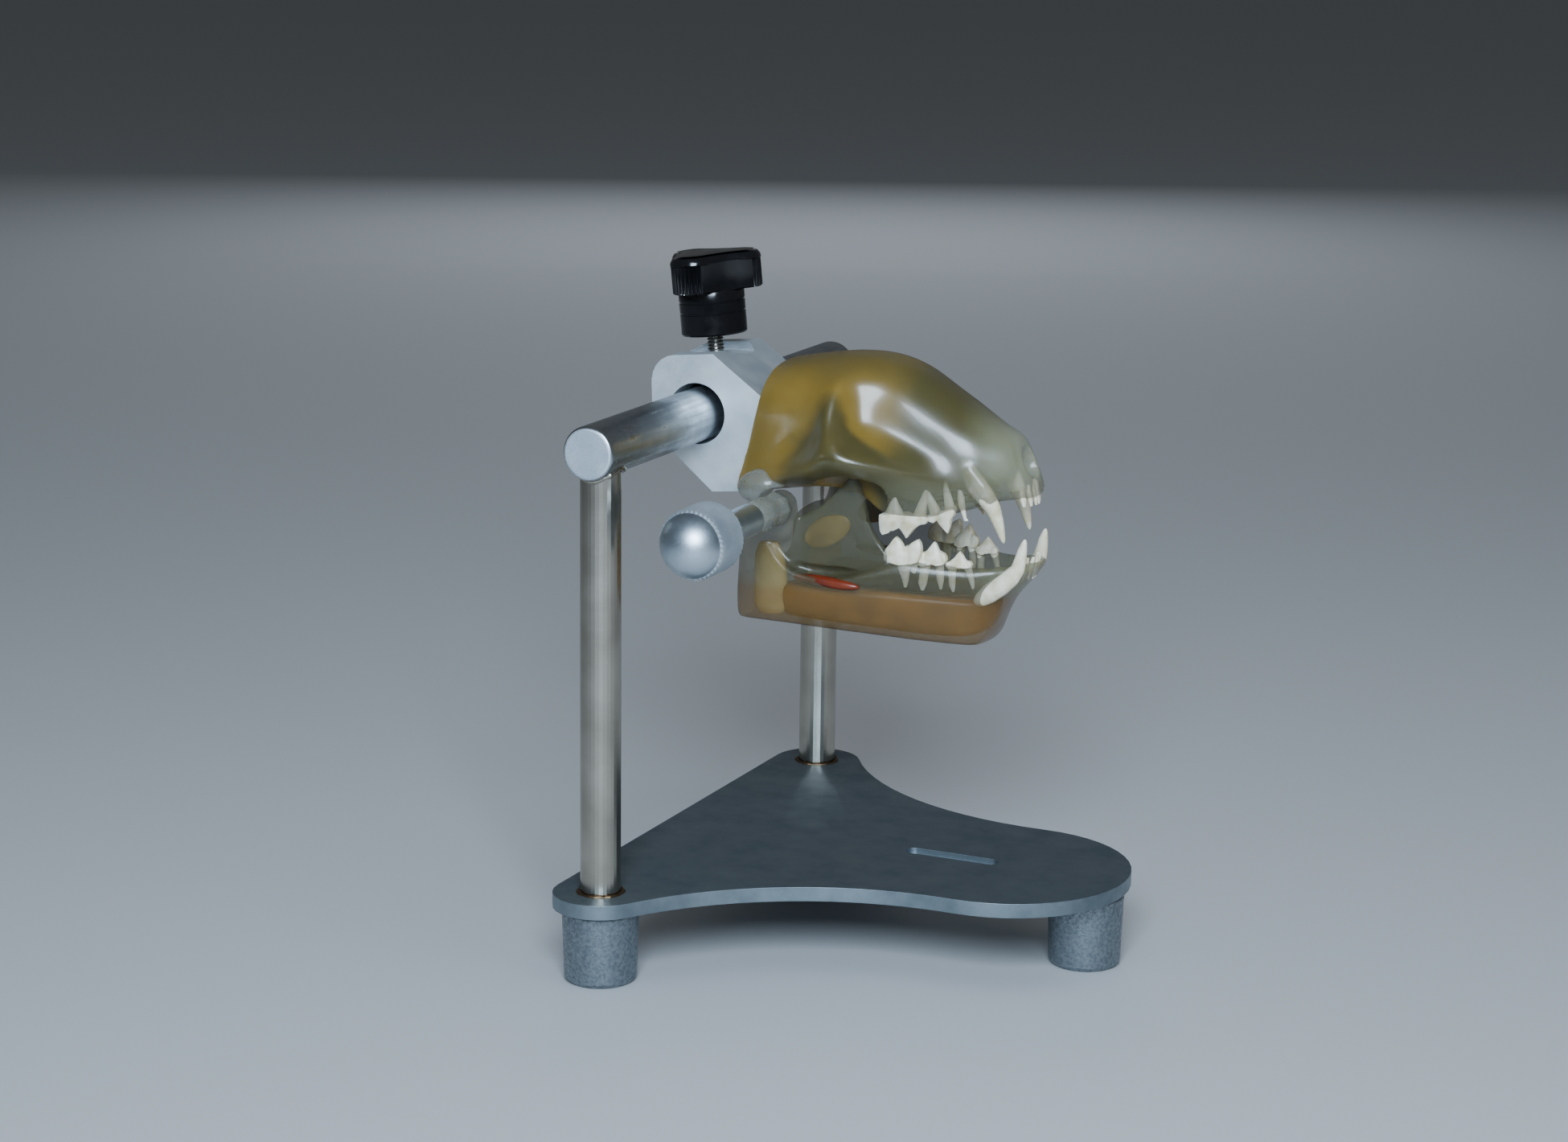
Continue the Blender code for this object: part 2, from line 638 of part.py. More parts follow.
# The upright blade of the jaw, which stands inside the cheek arch
def blade(side):
    outline = [(20, 98), (50, 98), (51, 103.5), (47.2, 109), (45.6, 115), (44.2, 120.6), (42.4, 121.6),
               (40.4, 119), (37.2, 115.8), (34.4, 113), (31.4, 111), (29.0, 112.5), (25.3, 114.5),
               (21.5, 112.5), (19.6, 106)]
    points = [(x * MM, z * MM) for x, z in outline]
    rings = []
    for offset in (-1.5, 1.5):
        ring = []
        for x, z in points:
            splay = 18.6 * MM + (30.0 * MM - x) * 0.12
            ring.append(Vector((x, side * splay + offset * MM, z)))
        rings.append(ring)
    return skin("blade", rings)


jaw = skin("lower_jaw", jaw_rings(), CLEAR_RESIN)
trough = skin("trough", trough_rings())
boolean(jaw, [trough], "DIFFERENCE")
pieces = []
for side in (1, -1):
    pieces.append(blade(side))
    barrel = turned("barrel", [(CONDYLE_RADIUS, 0.0), (CONDYLE_RADIUS, CONDYLE_OUTER - CONDYLE_INNER)],
                    Vector((HINGE_X, side * CONDYLE_INNER, HINGE_Z)), Y_AXIS * side, 24)
    pieces.append(barrel)
cast(jaw, pieces, JAW_VOXEL, 2)


def jaw_cutters():
    made = []
    for side in (1, -1):
        made.append(ball("cheek_scoop", mm(39.0, side * 25.6, 104.5), mm(12.5, 6.2, 8.0), math.radians(4)))
        made.append(ball("lens_pocket", mm(38.5, side * 20.6, 97.2), mm(10.5, 4.5, 2.2), math.radians(2)))
    return made


boolean(jaw, jaw_cutters(), "DIFFERENCE")
cast(jaw, [], JAW_VOXEL, 1)
thin_out(jaw, JAW_TRIANGLES)
lower_teeth = LOWER_CANINE + LOWER_MOLAR + LOWER_PREMOLARS + incisors(84.4, 101.0, 103.9, 1.5)
boolean(jaw, tooth_row(lower_teeth), "UNION")
keep_largest(jaw)
smooth_shading(jaw, 50)


# Jaw hinge knob on the skull's right side


def jaw_knob():
    start = Vector((HINGE_X, 0, HINGE_Z))
    edge = 0.5 * MM
    profile = [(JAW_KNOB_NECK_RADIUS - edge, CONDYLE_OUTER + GAP),
               (JAW_KNOB_NECK_RADIUS, CONDYLE_OUTER + GAP + edge),
               (JAW_KNOB_NECK_RADIUS * 1.1, JAW_KNOB_BACK),
               (JAW_KNOB_RADIUS - edge, JAW_KNOB_BACK), (JAW_KNOB_RADIUS, JAW_KNOB_BACK + edge)]
    for radius, height in arc(0.0, JAW_KNOB_EQUATOR, JAW_KNOB_RADIUS, 0.0, 84.0, 8):
        profile.append((radius, height))
    made = turned("jaw_knob", profile, start, -Y_AXIS, 32, SATIN_ALUMINIUM)
    smooth_shading(made, 35)


jaw_knob()


# Each moving piece gets its origin on the hinge that it turns about.
bar_centre = Vector((0, 0, BAR_HEIGHT))
hinge_centre = Vector((HINGE_X, 0, HINGE_Z))
hinges = {"clamp_block": bar_centre, "upper_skull": bar_centre, "clamp_knob": bore_centre,
          "lower_jaw": hinge_centre, "jaw_knob": hinge_centre}
for made in bpy.data.objects:
    hinge = hinges.get(made.name, Vector((0, 0, 0)))
    made.data.transform(Matrix.Translation(-hinge))
    made.location = hinge - X_AXIS * BOX_MIDDLE_X - Z_AXIS * BENCH_TOP
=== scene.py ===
import json
import math
import bmesh
import bpy
from mathutils import Matrix, Vector

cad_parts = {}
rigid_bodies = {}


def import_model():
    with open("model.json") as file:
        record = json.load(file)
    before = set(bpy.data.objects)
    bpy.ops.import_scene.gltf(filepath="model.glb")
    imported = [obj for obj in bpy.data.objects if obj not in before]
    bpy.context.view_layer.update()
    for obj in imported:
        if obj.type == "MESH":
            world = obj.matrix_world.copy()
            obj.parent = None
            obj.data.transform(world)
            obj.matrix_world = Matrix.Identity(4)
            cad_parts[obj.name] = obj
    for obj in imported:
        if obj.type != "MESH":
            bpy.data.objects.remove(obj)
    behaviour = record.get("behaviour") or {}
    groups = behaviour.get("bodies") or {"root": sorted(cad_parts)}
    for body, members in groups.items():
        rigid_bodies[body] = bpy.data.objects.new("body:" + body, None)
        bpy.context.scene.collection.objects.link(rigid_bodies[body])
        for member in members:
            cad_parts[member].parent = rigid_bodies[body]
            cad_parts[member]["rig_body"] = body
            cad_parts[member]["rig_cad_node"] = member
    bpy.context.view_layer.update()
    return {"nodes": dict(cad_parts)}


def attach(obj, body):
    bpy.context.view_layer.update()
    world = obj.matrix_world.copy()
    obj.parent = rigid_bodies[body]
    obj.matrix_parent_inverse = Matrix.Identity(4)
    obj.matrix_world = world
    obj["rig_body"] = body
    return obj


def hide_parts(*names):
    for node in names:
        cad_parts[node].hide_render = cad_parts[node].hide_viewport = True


# A clear resin cat skull for teaching dentistry, clamped to a small aluminium bench stand.
# Sizes are millimetres: x runs forward from the posts to the nose, y to the skull's left, and z up.
# at() moves them to the shared frame, where the bench top is at 0, and turns them into metres.
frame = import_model()
cadNodes = frame["nodes"]
millimetre = 0.001
layout = {"postsX": -46.53, "benchTop": 5.15, "postY": 61.98, "barZ": 131.6, "barRadius": 6.35,
          "plateTop": 26.63, "hingeX": 25.3, "hingeZ": 112.9}
bothSides = ((1, "Left"), (-1, "Right"))


def at(x, y, z):
    return Vector((x + layout["postsX"], y, z - layout["benchTop"])) * millimetre


def onSide(side, place):        # side is 1 for the left and -1 for the right
    return (place[0], side * place[1]) + tuple(place[2:])


# Small tools


def activate(*pieces):          # only these are selected, and the last one is active
    if bpy.context.object and bpy.context.object.mode != "OBJECT":
        bpy.ops.object.mode_set(mode="OBJECT")
    bpy.ops.object.select_all(action="DESELECT")
    for piece in pieces:
        piece.select_set(True)
        bpy.context.view_layer.objects.active = piece


def startEdit(piece):           # in edit mode with everything selected
    activate(piece)
    bpy.ops.object.mode_set(mode="EDIT")
    bpy.ops.mesh.select_mode(type="VERT")
    bpy.ops.mesh.select_all(action="SELECT")


def endEdit(piece, outward=False):      # outward turns all faces to the outside first
    if outward:
        bpy.ops.mesh.select_all(action="SELECT")
        bpy.ops.mesh.normals_make_consistent(inside=False)
    bpy.ops.object.mode_set(mode="OBJECT")
    return piece


def applyStep(piece, kind, **settings):
    activate(piece)
    bpy.ops.object.modifier_add(type=kind)
    step = piece.modifiers[-1]
    for name, value in settings.items():
        setattr(step, name, value)
    bpy.ops.object.modifier_apply(modifier=step.name)


def selectWhere(piece, test):   # in edit mode, picks corners by their place
    shape = bmesh.from_edit_mesh(piece.data)
    for vert in shape.verts:
        vert.select_set(bool(test(vert.co)))
    shape.select_flush_mode()
    bmesh.update_edit_mesh(piece.data)


def emptyPiece(name):           # a new mesh with nothing in it, in edit mode
    activate()
    bpy.ops.mesh.primitive_circle_add(vertices=3, radius=millimetre, location=(0, 0, 0))
    piece = bpy.context.object
    piece.name = name
    startEdit(piece)
    bpy.ops.mesh.delete(type="VERT")
    return piece


def addRing(count, radius, centre, axis):       # only this ring is selected
    bpy.ops.mesh.select_all(action="DESELECT")
    bpy.ops.mesh.primitive_circle_add(vertices=count, radius=radius * millimetre, location=centre,
                                      rotation=axis.to_track_quat("Z", "Y").to_euler())


def addOutline(piece, points):  # a ring through these points
    addRing(len(points), 1.0, points[0], Vector((1, 0, 0)))
    shape = bmesh.from_edit_mesh(piece.data)
    for vert, point in zip([vert for vert in shape.verts if vert.select], points):
        vert.co = point
    bmesh.update_edit_mesh(piece.data)


def closeRings(piece):          # joins the rings in turn and caps both ends
    bpy.ops.mesh.select_all(action="SELECT")
    bpy.ops.mesh.bridge_edge_loops()
    bpy.ops.mesh.select_all(action="SELECT")
    bpy.ops.mesh.fill_holes(sides=0)
    return endEdit(piece, True)


# A body from a cage: each station is x and the left half of an outline of y and z, which starts and
# ends on the middle line; the right half mirrors it
def cageBody(name, stations, levels):
    piece = emptyPiece(name)
    for x, half in stations:
        addOutline(piece, [at(x, y, z) for y, z in half + [(-y, z) for y, z in half[-2:0:-1]]])
    closeRings(piece)
    applyStep(piece, "SUBSURF", levels=levels, render_levels=levels)
    return piece


# A peg or limb through stations of x, y, z and radius
def strand(name, stations, flatten=(1, 1, 1), sides=16):
    piece = emptyPiece(name)
    centres = [at(*station[:3]) for station in stations]
    for i, station in enumerate(stations):
        ahead = centres[min(i + 1, len(centres) - 1)] - centres[max(i - 1, 0)]
        addRing(sides, station[3], centres[i], ahead)
        bpy.ops.transform.resize(value=flatten, center_override=centres[i])
    return closeRings(piece)


# A rod on the line of the jaw's hinge, through stations of y and radius
def hingeRod(name, side, stations, sides=32):
    return strand(name, [(layout["hingeX"], side * y, layout["hingeZ"], radius) for y, radius in stations],
                  sides=sides)


# A turned part: rings of radius and height along an axis from a base point
def turnedBody(name, base, axis, profile, sides=64):
    piece = emptyPiece(name)
    for radius, height in profile:
        addRing(sides, radius, base + axis * height * millimetre, axis)
    return closeRings(piece)


def lump(name, centre, sizes, tilt=0.0, segments=32):      # a sphere drawn out, then tilted about y
    activate()
    bpy.ops.mesh.primitive_uv_sphere_add(segments=segments, ring_count=segments // 2, radius=millimetre,
                                         location=at(*centre), rotation=(0, math.radians(tilt), 0))
    piece = bpy.context.object
    piece.name = name
    piece.scale = sizes
    bpy.ops.object.transform_apply(location=True, rotation=True, scale=True)
    return piece


# An upright sheet: an outline of x and z, filled and given its thickness about y
def sheet(name, outline, thick, place):
    piece = emptyPiece(name)
    shape = bmesh.from_edit_mesh(piece.data)
    shape.faces.new([shape.verts.new(at(x, place(x), z)) for x, z in outline])
    bmesh.update_edit_mesh(piece.data)
    bpy.ops.mesh.select_all(action="SELECT")
    bpy.ops.mesh.quads_convert_to_tris()
    bpy.ops.transform.translate(value=(0, -thick / 2 * millimetre, 0))
    bpy.ops.mesh.extrude_region_move(TRANSFORM_OT_translate={"value": (0, thick * millimetre, 0)})
    return endEdit(piece, True)


def melt(name, pieces, voxel, smoothing):       # joins pieces into one smooth skin
    activate(*pieces)
    if len(pieces) > 1:
        bpy.ops.object.join()
    body = bpy.context.object
    body.name = name
    applyStep(body, "REMESH", mode="VOXEL", voxel_size=voxel * millimetre)
    applyStep(body, "SMOOTH", factor=0.5, iterations=smoothing)
    return body


def carve(body, cutters, operation="DIFFERENCE"):       # the cutters are used up
    group = bpy.data.collections.new("cutters")
    bpy.context.scene.collection.children.link(group)
    for cutter in cutters:
        group.objects.link(cutter)
    applyStep(body, "BOOLEAN", operation=operation, operand_type="COLLECTION", collection=group,
              solver="EXACT")
    for cutter in cutters:
        bpy.data.objects.remove(cutter, do_unlink=True)
    bpy.data.collections.remove(group)


def cleanCopy(node, name):      # a CAD node's own shape, merged, for bevels
    activate()
    piece = cadNodes[node].copy()
    piece.data = cadNodes[node].data.copy()
    piece.name = name
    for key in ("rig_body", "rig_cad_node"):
        if key in piece:
            del piece[key]
    piece.parent = None
    bpy.context.scene.collection.objects.link(piece)
    startEdit(piece)
    bpy.ops.mesh.remove_doubles(threshold=0.01 * millimetre)
    bpy.ops.mesh.dissolve_limited(angle_limit=math.radians(1))
    return endEdit(piece)


def mirrored(piece, name):      # the same piece on the right side
    activate(piece)
    bpy.ops.object.duplicate(linked=False)
    twin = bpy.context.object
    twin.name = name
    startEdit(twin)
    bpy.ops.transform.resize(value=(1, -1, 1), center_override=(0, 0, 0))
    return endEdit(twin, True)


def smoothAll(piece, degrees=None):
    activate(piece)
    if degrees is None:
        bpy.ops.object.shade_smooth()
    else:
        bpy.ops.object.shade_smooth_by_angle(angle=math.radians(degrees))


def settle(piece, body, material, slot=None, *nodes):
    piece.data.materials.clear()
    piece.data.materials.append(material)
    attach(piece, body)
    if nodes:
        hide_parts(*nodes)


def addSecond(piece, material, test):       # gives the faces that pass the test a second material
    piece.data.materials.append(material)
    for face in piece.data.polygons:
        if test(face):
            face.material_index = 1


# Materials. In a look, the size of a pattern is in millimetres, but patches, stains and smears are
# repeats in a metre; a pair is the two ends of a range, and relief is a strength and a depth in mm.


def hexColour(text):            # sRGB hex to linear
    parts = [int(text[i:i + 2], 16) / 255 for i in (1, 3, 5)]
    return tuple(c / 12.92 if c <= 0.04045 else ((c + 0.055) / 1.055) ** 2.4 for c in parts) + (1.0,)


def newMaterial(name):
    material = bpy.data.materials.new(name)
    material.use_nodes = True
    tree = material.node_tree
    return material, tree, tree.nodes["Principled BSDF"]


def addNode(tree, kind, settings, links):
    made = tree.nodes.new(kind)
    for name, value in settings.items():
        if isinstance(name, int) or name in made.inputs:
            made.inputs[name].default_value = value
        else:
            setattr(made, name, value)
    for name, source in links.items():
        tree.links.new(source, made.inputs[name])
    return made


def objectPlace(tree):
    return addNode(tree, "ShaderNodeTexCoord", {}, {}).outputs["Object"]


def noise(tree, place, scale, detail, **settings):      # scale is repeats in a metre
    return addNode(tree, "ShaderNodeTexNoise", {"Scale": scale, "Detail": detail, **settings},
                   {"Vector": place}).outputs["Fac"]


def stretched(tree, place, scale):      # squeezes the place so that a pattern runs along one axis
    return addNode(tree, "ShaderNodeMapping", {"Scale": scale}, {"Vector": place}).outputs["Vector"]


def remap(tree, source, before, after=(0.0, 1.0), **settings):
    return addNode(tree, "ShaderNodeMapRange", {"From Min": before[0], "From Max": before[1],
                                                "To Min": after[0], "To Max": after[1], **settings},
                   {"Value": source}).outputs["Result"]


def arithmetic(tree, operation, *sources):
    links = dict(enumerate(sources))
    return addNode(tree, "ShaderNodeMath", {"operation": operation}, links).outputs["Value"]


def blend(tree, share, first, last):    # each colour is a hex text or another node's output
    settings, links = {"data_type": "RGBA"}, {0: share}
    for key, colour in ((6, first), (7, last)):
        if isinstance(colour, str):
            settings[key] = hexColour(colour)
        else:
            links[key] = colour
    return addNode(tree, "ShaderNodeMix", settings, links).outputs[2]


def relief(tree, height, strength, depth):      # depth is millimetres
    return addNode(tree, "ShaderNodeBump", {"Strength": strength, "Distance": depth * millimetre},
                   {"Height": height}).outputs["Normal"]


def setShader(shader, **values):
    for name, value in values.items():
        shader.inputs[name.replace("_", " ")].default_value = value


def linkShader(tree, shader, colour=None, gloss=None, normal=None, alpha=None):
    sources = {"Base Color": colour, "Roughness": gloss, "Normal": normal, "Alpha": alpha}
    for name, source in sources.items():
        if source is not None:
            tree.links.new(source, shader.inputs[name])


def dressMetal(tree, shader, look, spread, gloss, fine):    # spread mixes the colours, fine is the relief
    setShader(shader, Metallic=1.0)
    linkShader(tree, shader, blend(tree, spread, look["dark"], look["light"]), gloss,
               relief(tree, fine, *look["relief"]))


# Sawn aluminium plate, dulled by handling: soft blotches and a fine grain
def dulledPlate():
    material, tree, shader = newMaterial("dulled aluminium plate")
    look = {"dark": "#78848b", "light": "#97a3aa", "blotch": 11.0, "blotchSpread": (0.35, 0.68),
            "grain": 0.5, "gloss": (0.58, 0.46), "relief": (0.12, 0.1)}
    place = objectPlace(tree)
    blotch = noise(tree, place, 1000 / look["blotch"], 5.0, Roughness=0.6)
    grain = noise(tree, place, 1000 / look["grain"], 2.0)
    spread = remap(tree, blotch, look["blotchSpread"])
    dressMetal(tree, shader, look, spread, remap(tree, blotch, (0.3, 0.7), look["gloss"]), grain)
    return material


# Round bar stock, drawn and then scuffed by the clamp: streaks along its length
def wornBar():
    material, tree, shader = newMaterial("drawn aluminium bar")
    look = {"dark": "#979ca0", "light": "#bac0c4", "streak": 1.2, "along": 0.05, "patches": 160.0,
            "spread": (0.15, 0.36), "gloss": (0.42, 0.26), "relief": (0.08, 0.05)}
    place = objectPlace(tree)
    streak = noise(tree, stretched(tree, place, (1.0, look["along"], 1.0)), 1000 / look["streak"], 4.0)
    patch = noise(tree, place, look["patches"], 4.0)
    spread = remap(tree, arithmetic(tree, "MULTIPLY", streak, patch), look["spread"])
    dressMetal(tree, shader, look, spread, remap(tree, spread, (0.0, 1.0), look["gloss"]), streak)
    return material


# Stainless rod, ground round: fine rings, a warm grey
def groundSteel():
    material, tree, shader = newMaterial("ground stainless rod")
    look = {"dark": "#a39d91", "light": "#b7b1a5", "line": 0.35, "round": 0.06, "stains": 90.0,
            "stainSpread": (0.35, 0.7), "gloss": (0.2, 0.27), "relief": (0.03, 0.04)}
    place = objectPlace(tree)
    rings = stretched(tree, place, (look["round"], look["round"], 1.0))
    line = noise(tree, rings, 1000 / look["line"], 3.0)
    spread = remap(tree, noise(tree, place, look["stains"], 3.0), look["stainSpread"])
    dressMetal(tree, shader, look, spread, remap(tree, line, (0.3, 0.7), look["gloss"]), line)
    return material


# Sand-cast aluminium, left as cast: a pitted skin, duller in its pits
def castFeet():
    material, tree, shader = newMaterial("sand-cast aluminium")
    look = {"dark": "#727b82", "light": "#9ba4aa", "pit": 0.8, "pitSpread": (0.38, 0.66),
            "gloss": (0.6, 0.38), "relief": (0.4, 0.3)}
    pit = noise(tree, objectPlace(tree), 1000 / look["pit"], 6.0, Roughness=0.65)
    spread = remap(tree, pit, look["pitSpread"])
    dressMetal(tree, shader, look, spread, remap(tree, spread, (0.0, 1.0), look["gloss"]), pit)
    return material


# Bead-blasted aluminium: an even satin with a fine tooth
def blastedAluminium(name, look):
    material, tree, shader = newMaterial(name)
    place = objectPlace(tree)
    bead = noise(tree, place, 1000 / look["bead"], 2.0)
    spread = remap(tree, noise(tree, place, 120.0, 4.0), (0.35, 0.65))      # wide faint clouds
    gloss = remap(tree, bead, (0.3, 0.7), (look["gloss"], look["gloss"] + 0.1))
    dressMetal(tree, shader, {"relief": (0.15, 0.08), **look}, spread, gloss, bead)
    return material


# Moulded black plastic, nearly mirror smooth with faint handling marks
def mouldedPlastic():
    material, tree, shader = newMaterial("moulded black plastic")
    look = {"colour": "#0c0c0e", "smears": 260.0, "gloss": (0.1, 0.24), "relief": (0.05, 0.4)}
    smear = noise(tree, objectPlace(tree), look["smears"], 4.0)
    setShader(shader, Base_Color=hexColour(look["colour"]), IOR=1.5)
    linkShader(tree, shader, gloss=remap(tree, smear, (0.35, 0.7), look["gloss"]),
               normal=relief(tree, smear, *look["relief"]))
    return material


def platedSteel():              # bright screw steel, slightly streaked
    material, tree, shader = newMaterial("plated screw steel")
    look = {"colour": "#b6b4ae", "smears": 900.0, "gloss": (0.15, 0.4)}
    smear = noise(tree, objectPlace(tree), look["smears"], 3.0)
    setShader(shader, Base_Color=hexColour(look["colour"]), Metallic=1.0)
    linkShader(tree, shader, gloss=remap(tree, smear, (0.0, 1.0), look["gloss"]))
    return material


# Cast resin, satin from its mould. Its colour changes with the place: "warm" over the rear and on the
# inner wall of the orbit, fading at the crown; "nose" to the front; "low" along the tooth row or the
# base; "thick" elsewhere, the resin's own olive darkened with painted shade for the dark surroundings
# seen through it. alpha is how solid it looks there: in general, at the nose, and low down.
def castResin(name, look):
    material, tree, shader = newMaterial(name)
    place = objectPlace(tree)
    drift = addNode(tree, "ShaderNodeTexNoise", {"Scale": 1000 / look["cloud"], "Detail": 2.0},
                    {"Vector": place})
    wander = addNode(tree, "ShaderNodeVectorMath",
                     {"operation": "MULTIPLY_ADD", 1: (look["wander"] * millimetre,) * 3},
                     {0: drift.outputs["Color"], 2: place})
    axes = addNode(tree, "ShaderNodeSeparateXYZ", {}, {"Vector": wander.outputs["Vector"]}).outputs
    shiftX = layout["postsX"] + look["wander"] / 2
    shiftZ = look["wander"] / 2 - layout["benchTop"]

    def ramp(source, first, last, shift=0.0):       # 0 to 1 between two places in mm
        return remap(tree, source, ((first + shift) * millimetre, (last + shift) * millimetre),
                     interpolation_type="SMOOTHSTEP")

    def fall(source, key, shift):                   # the other way round: 1 to 0
        return ramp(source, *reversed(look[key]), shift)

    across = arithmetic(tree, "ABSOLUTE", axes["Y"])
    inner = arithmetic(tree, "MULTIPLY", fall(across, "innerY", 0.0), fall(axes["X"], "innerX", shiftX))
    either = arithmetic(tree, "MAXIMUM", fall(axes["X"], "rearX", shiftX), inner)
    crown = remap(tree, ramp(axes["Z"], *look["crownZ"], shiftZ), (0.0, 1.0), (1.0, 0.4))
    warm = arithmetic(tree, "MULTIPLY", either, crown)
    nose = ramp(axes["X"], *look["noseX"], shiftX)
    lowFront = arithmetic(tree, "MULTIPLY", fall(axes["Z"], "lowZ", shiftZ),
                          ramp(axes["X"], *look["frontX"], shiftX))
    # the "thick" colour is partly painted shade, for dark surroundings seen through the resin
    body = blend(tree, nose, blend(tree, warm, look["thick"], look["warm"]), look["nose"])
    general, front, low = look["alpha"]
    toNose = remap(tree, nose, (0.0, 1.0), (general, front))
    clear = addNode(tree, "ShaderNodeMapRange", {"To Max": low},
                    {"Value": lowFront, "To Min": toNose}).outputs["Result"]
    haze = noise(tree, place, 1000 / look["haze"], 3.0)
    skin = noise(tree, place, 1000 / look["skin"], 2.0)
    setShader(shader, IOR=1.5, Transmission_Weight=look["transmission"],
              Subsurface_Weight=look["scatter"], Subsurface_Scale=0.004,
              Subsurface_Radius=(1.0, 0.7, 0.35), Coat_Weight=0.5, Coat_Roughness=0.15)
    linkShader(tree, shader, blend(tree, lowFront, body, look["low"]),
               remap(tree, haze, (0.35, 0.7), look["gloss"]), relief(tree, skin, 0.05, 0.1), clear)
    return material


# Resin core: one warm colour with soft swirls of a lighter one. Most are pigmented cores, poured first; the
# olive one in the muzzle is painted shade, for dark surroundings seen through the clear resin.
def resinCore(name, look):
    material, tree, shader = newMaterial(name)
    swirl = noise(tree, objectPlace(tree), 1000 / look["swirl"], 1.5, Distortion=0.5)
    setShader(shader, IOR=1.5, Roughness=look["roughness"], Subsurface_Weight=0.6, Subsurface_Scale=0.003,
              Subsurface_Radius=(1.0, 0.5, 0.2), Alpha=look["alpha"])
    linkShader(tree, shader, blend(tree, remap(tree, swirl, (0.35, 0.65)), look["deep"], look["bright"]))
    return material


# Moulded dental resin for the teeth: warm ivory, satin, a little light passes through
def mouldedIvory():
    material, tree, shader = newMaterial("moulded ivory tooth resin")
    look = {"pale": "#ded9c4", "warm": "#c6bd98", "patch": 2.2, "fine": 0.5, "relief": (0.12, 0.1)}
    place = objectPlace(tree)
    patch = noise(tree, place, 1000 / look["patch"], 4.0)
    fine = noise(tree, place, 1000 / look["fine"], 3.0)
    setShader(shader, IOR=1.5, Roughness=0.38, Subsurface_Weight=0.35, Subsurface_Scale=0.0012,
              Subsurface_Radius=(1.0, 0.75, 0.45))
    linkShader(tree, shader, blend(tree, remap(tree, patch, (0.4, 0.68)), look["pale"], look["warm"]),
               normal=relief(tree, fine, *look["relief"]))
    return material


plateMetal = dulledPlate()
barMetal = wornBar()
rodSteel = groundSteel()
footMetal = castFeet()
# One finish in two tones: the block's copy is painted lighter for the light falling full on it, the knob's
# darker for the shaded edge of its ball.
satinMetalLit = blastedAluminium("bead-blasted aluminium, block, painted lighter", {
    "dark": "#d6e0e7", "light": "#edf3f6", "bead": 0.3, "gloss": 0.54})
turnedMetalShaded = blastedAluminium("bead-blasted aluminium, knob, painted darker", {
    "dark": "#b2c0cb", "light": "#c6d2db", "bead": 0.3, "gloss": 0.36})
knurledMetal = blastedAluminium("cross-knurled aluminium", {     # its many small points scatter the light
    "dark": "#b7c1c8", "light": "#d2dadf", "bead": 0.3, "gloss": 0.62})
facedMetal = blastedAluminium("faced aluminium, end of the bar", {
    "dark": "#c3d0da", "light": "#dbe4ea", "bead": 0.4, "gloss": 0.6})
blackPlastic = mouldedPlastic()
screwSteel = platedSteel()
stainedWeld, _, stainShader = newMaterial("heat-stained weld")     # brown where the heat tinted it
setShader(stainShader, Base_Color=hexColour("#75614a"), Metallic=1.0, Roughness=0.42)
toothResin = mouldedIvory()
noCrown = {"innerX": (10.0, 12.0), "innerY": (1.0, 2.0), "crownZ": (200.0, 210.0)}      # off the piece
# In the skull and the jaw, "thick" is the resin's olive tint darkened with painted shade for dark
# surroundings seen through it
upperResin = castResin("cast resin, upper skull", {
    "warm": "#80692c", "thick": "#4d4828", "nose": "#8f927a", "low": "#67674f",
    "rearX": (25.0, 31.0), "innerX": (48.0, 57.0), "innerY": (15.0, 18.0), "crownZ": (140.5, 147.0),
    "noseX": (64.0, 80.0), "frontX": (44.0, 52.0), "lowZ": (118.0, 124.0), "cloud": 9.0, "wander": 5.0,
    "haze": 6.0, "skin": 0.45, "gloss": (0.3, 0.42), "transmission": 0.0, "scatter": 0.7,
    "alpha": (0.76, 0.48, 0.5)})
lowerResin = castResin("cast resin, lower jaw", {
    **noCrown, "warm": "#6f6b50", "thick": "#504f3a", "nose": "#6b6b54", "low": "#6b5228",
    "rearX": (16.0, 24.0), "noseX": (68.0, 78.0), "frontX": (5.0, 10.0), "lowZ": (92.0, 96.0), "cloud": 9.0,
    "wander": 3.0, "haze": 6.0, "skin": 0.45, "gloss": (0.28, 0.4), "transmission": 0.0, "scatter": 0.6,
    "alpha": (0.48, 0.6, 0.6)})
clearResin = castResin("cast resin, clear", {
    **noCrown, "warm": "#888c84", "thick": "#888c84", "nose": "#888c84", "low": "#888c84",
    "rearX": (16.0, 24.0), "noseX": (70.0, 82.0), "frontX": (5.0, 10.0), "lowZ": (88.0, 98.0), "cloud": 6.0,
    "wander": 1.0, "haze": 3.0, "skin": 0.45, "gloss": (0.22, 0.36), "transmission": 0.2, "scatter": 0.6,
    "alpha": (0.55, 0.55, 0.55)})
amberCore = resinCore("poured amber core", {
    "deep": "#66501c", "bright": "#a98b47", "swirl": 11.0, "roughness": 0.25, "alpha": 1.0})
ochreCore = resinCore("poured ochre core", {
    "deep": "#8a7136", "bright": "#a88c4e", "swirl": 6.0, "roughness": 0.35, "alpha": 0.75})
# painted shade, not a poured core: it darkens the muzzle as dark surroundings seen through it would
oliveShadeCore = resinCore("olive core, painted shade", {
    "deep": "#4f4e34", "bright": "#6c6b4f", "swirl": 10.0, "roughness": 0.35, "alpha": 0.75})
beigeCore = resinCore("poured beige core", {
    "deep": "#b39a5c", "bright": "#d6c088", "swirl": 8.0, "roughness": 0.35, "alpha": 1.0})
rustCore = resinCore("poured rust core", {
    "deep": "#6b4410", "bright": "#9a6a26", "swirl": 12.0, "roughness": 0.35, "alpha": 1.0})
redCore = resinCore("poured red lens", {
    "deep": "#541a0c", "bright": "#742c14", "swirl": 6.0, "roughness": 0.3, "alpha": 1.0})
print("materials ready")


# Camera, light and floor

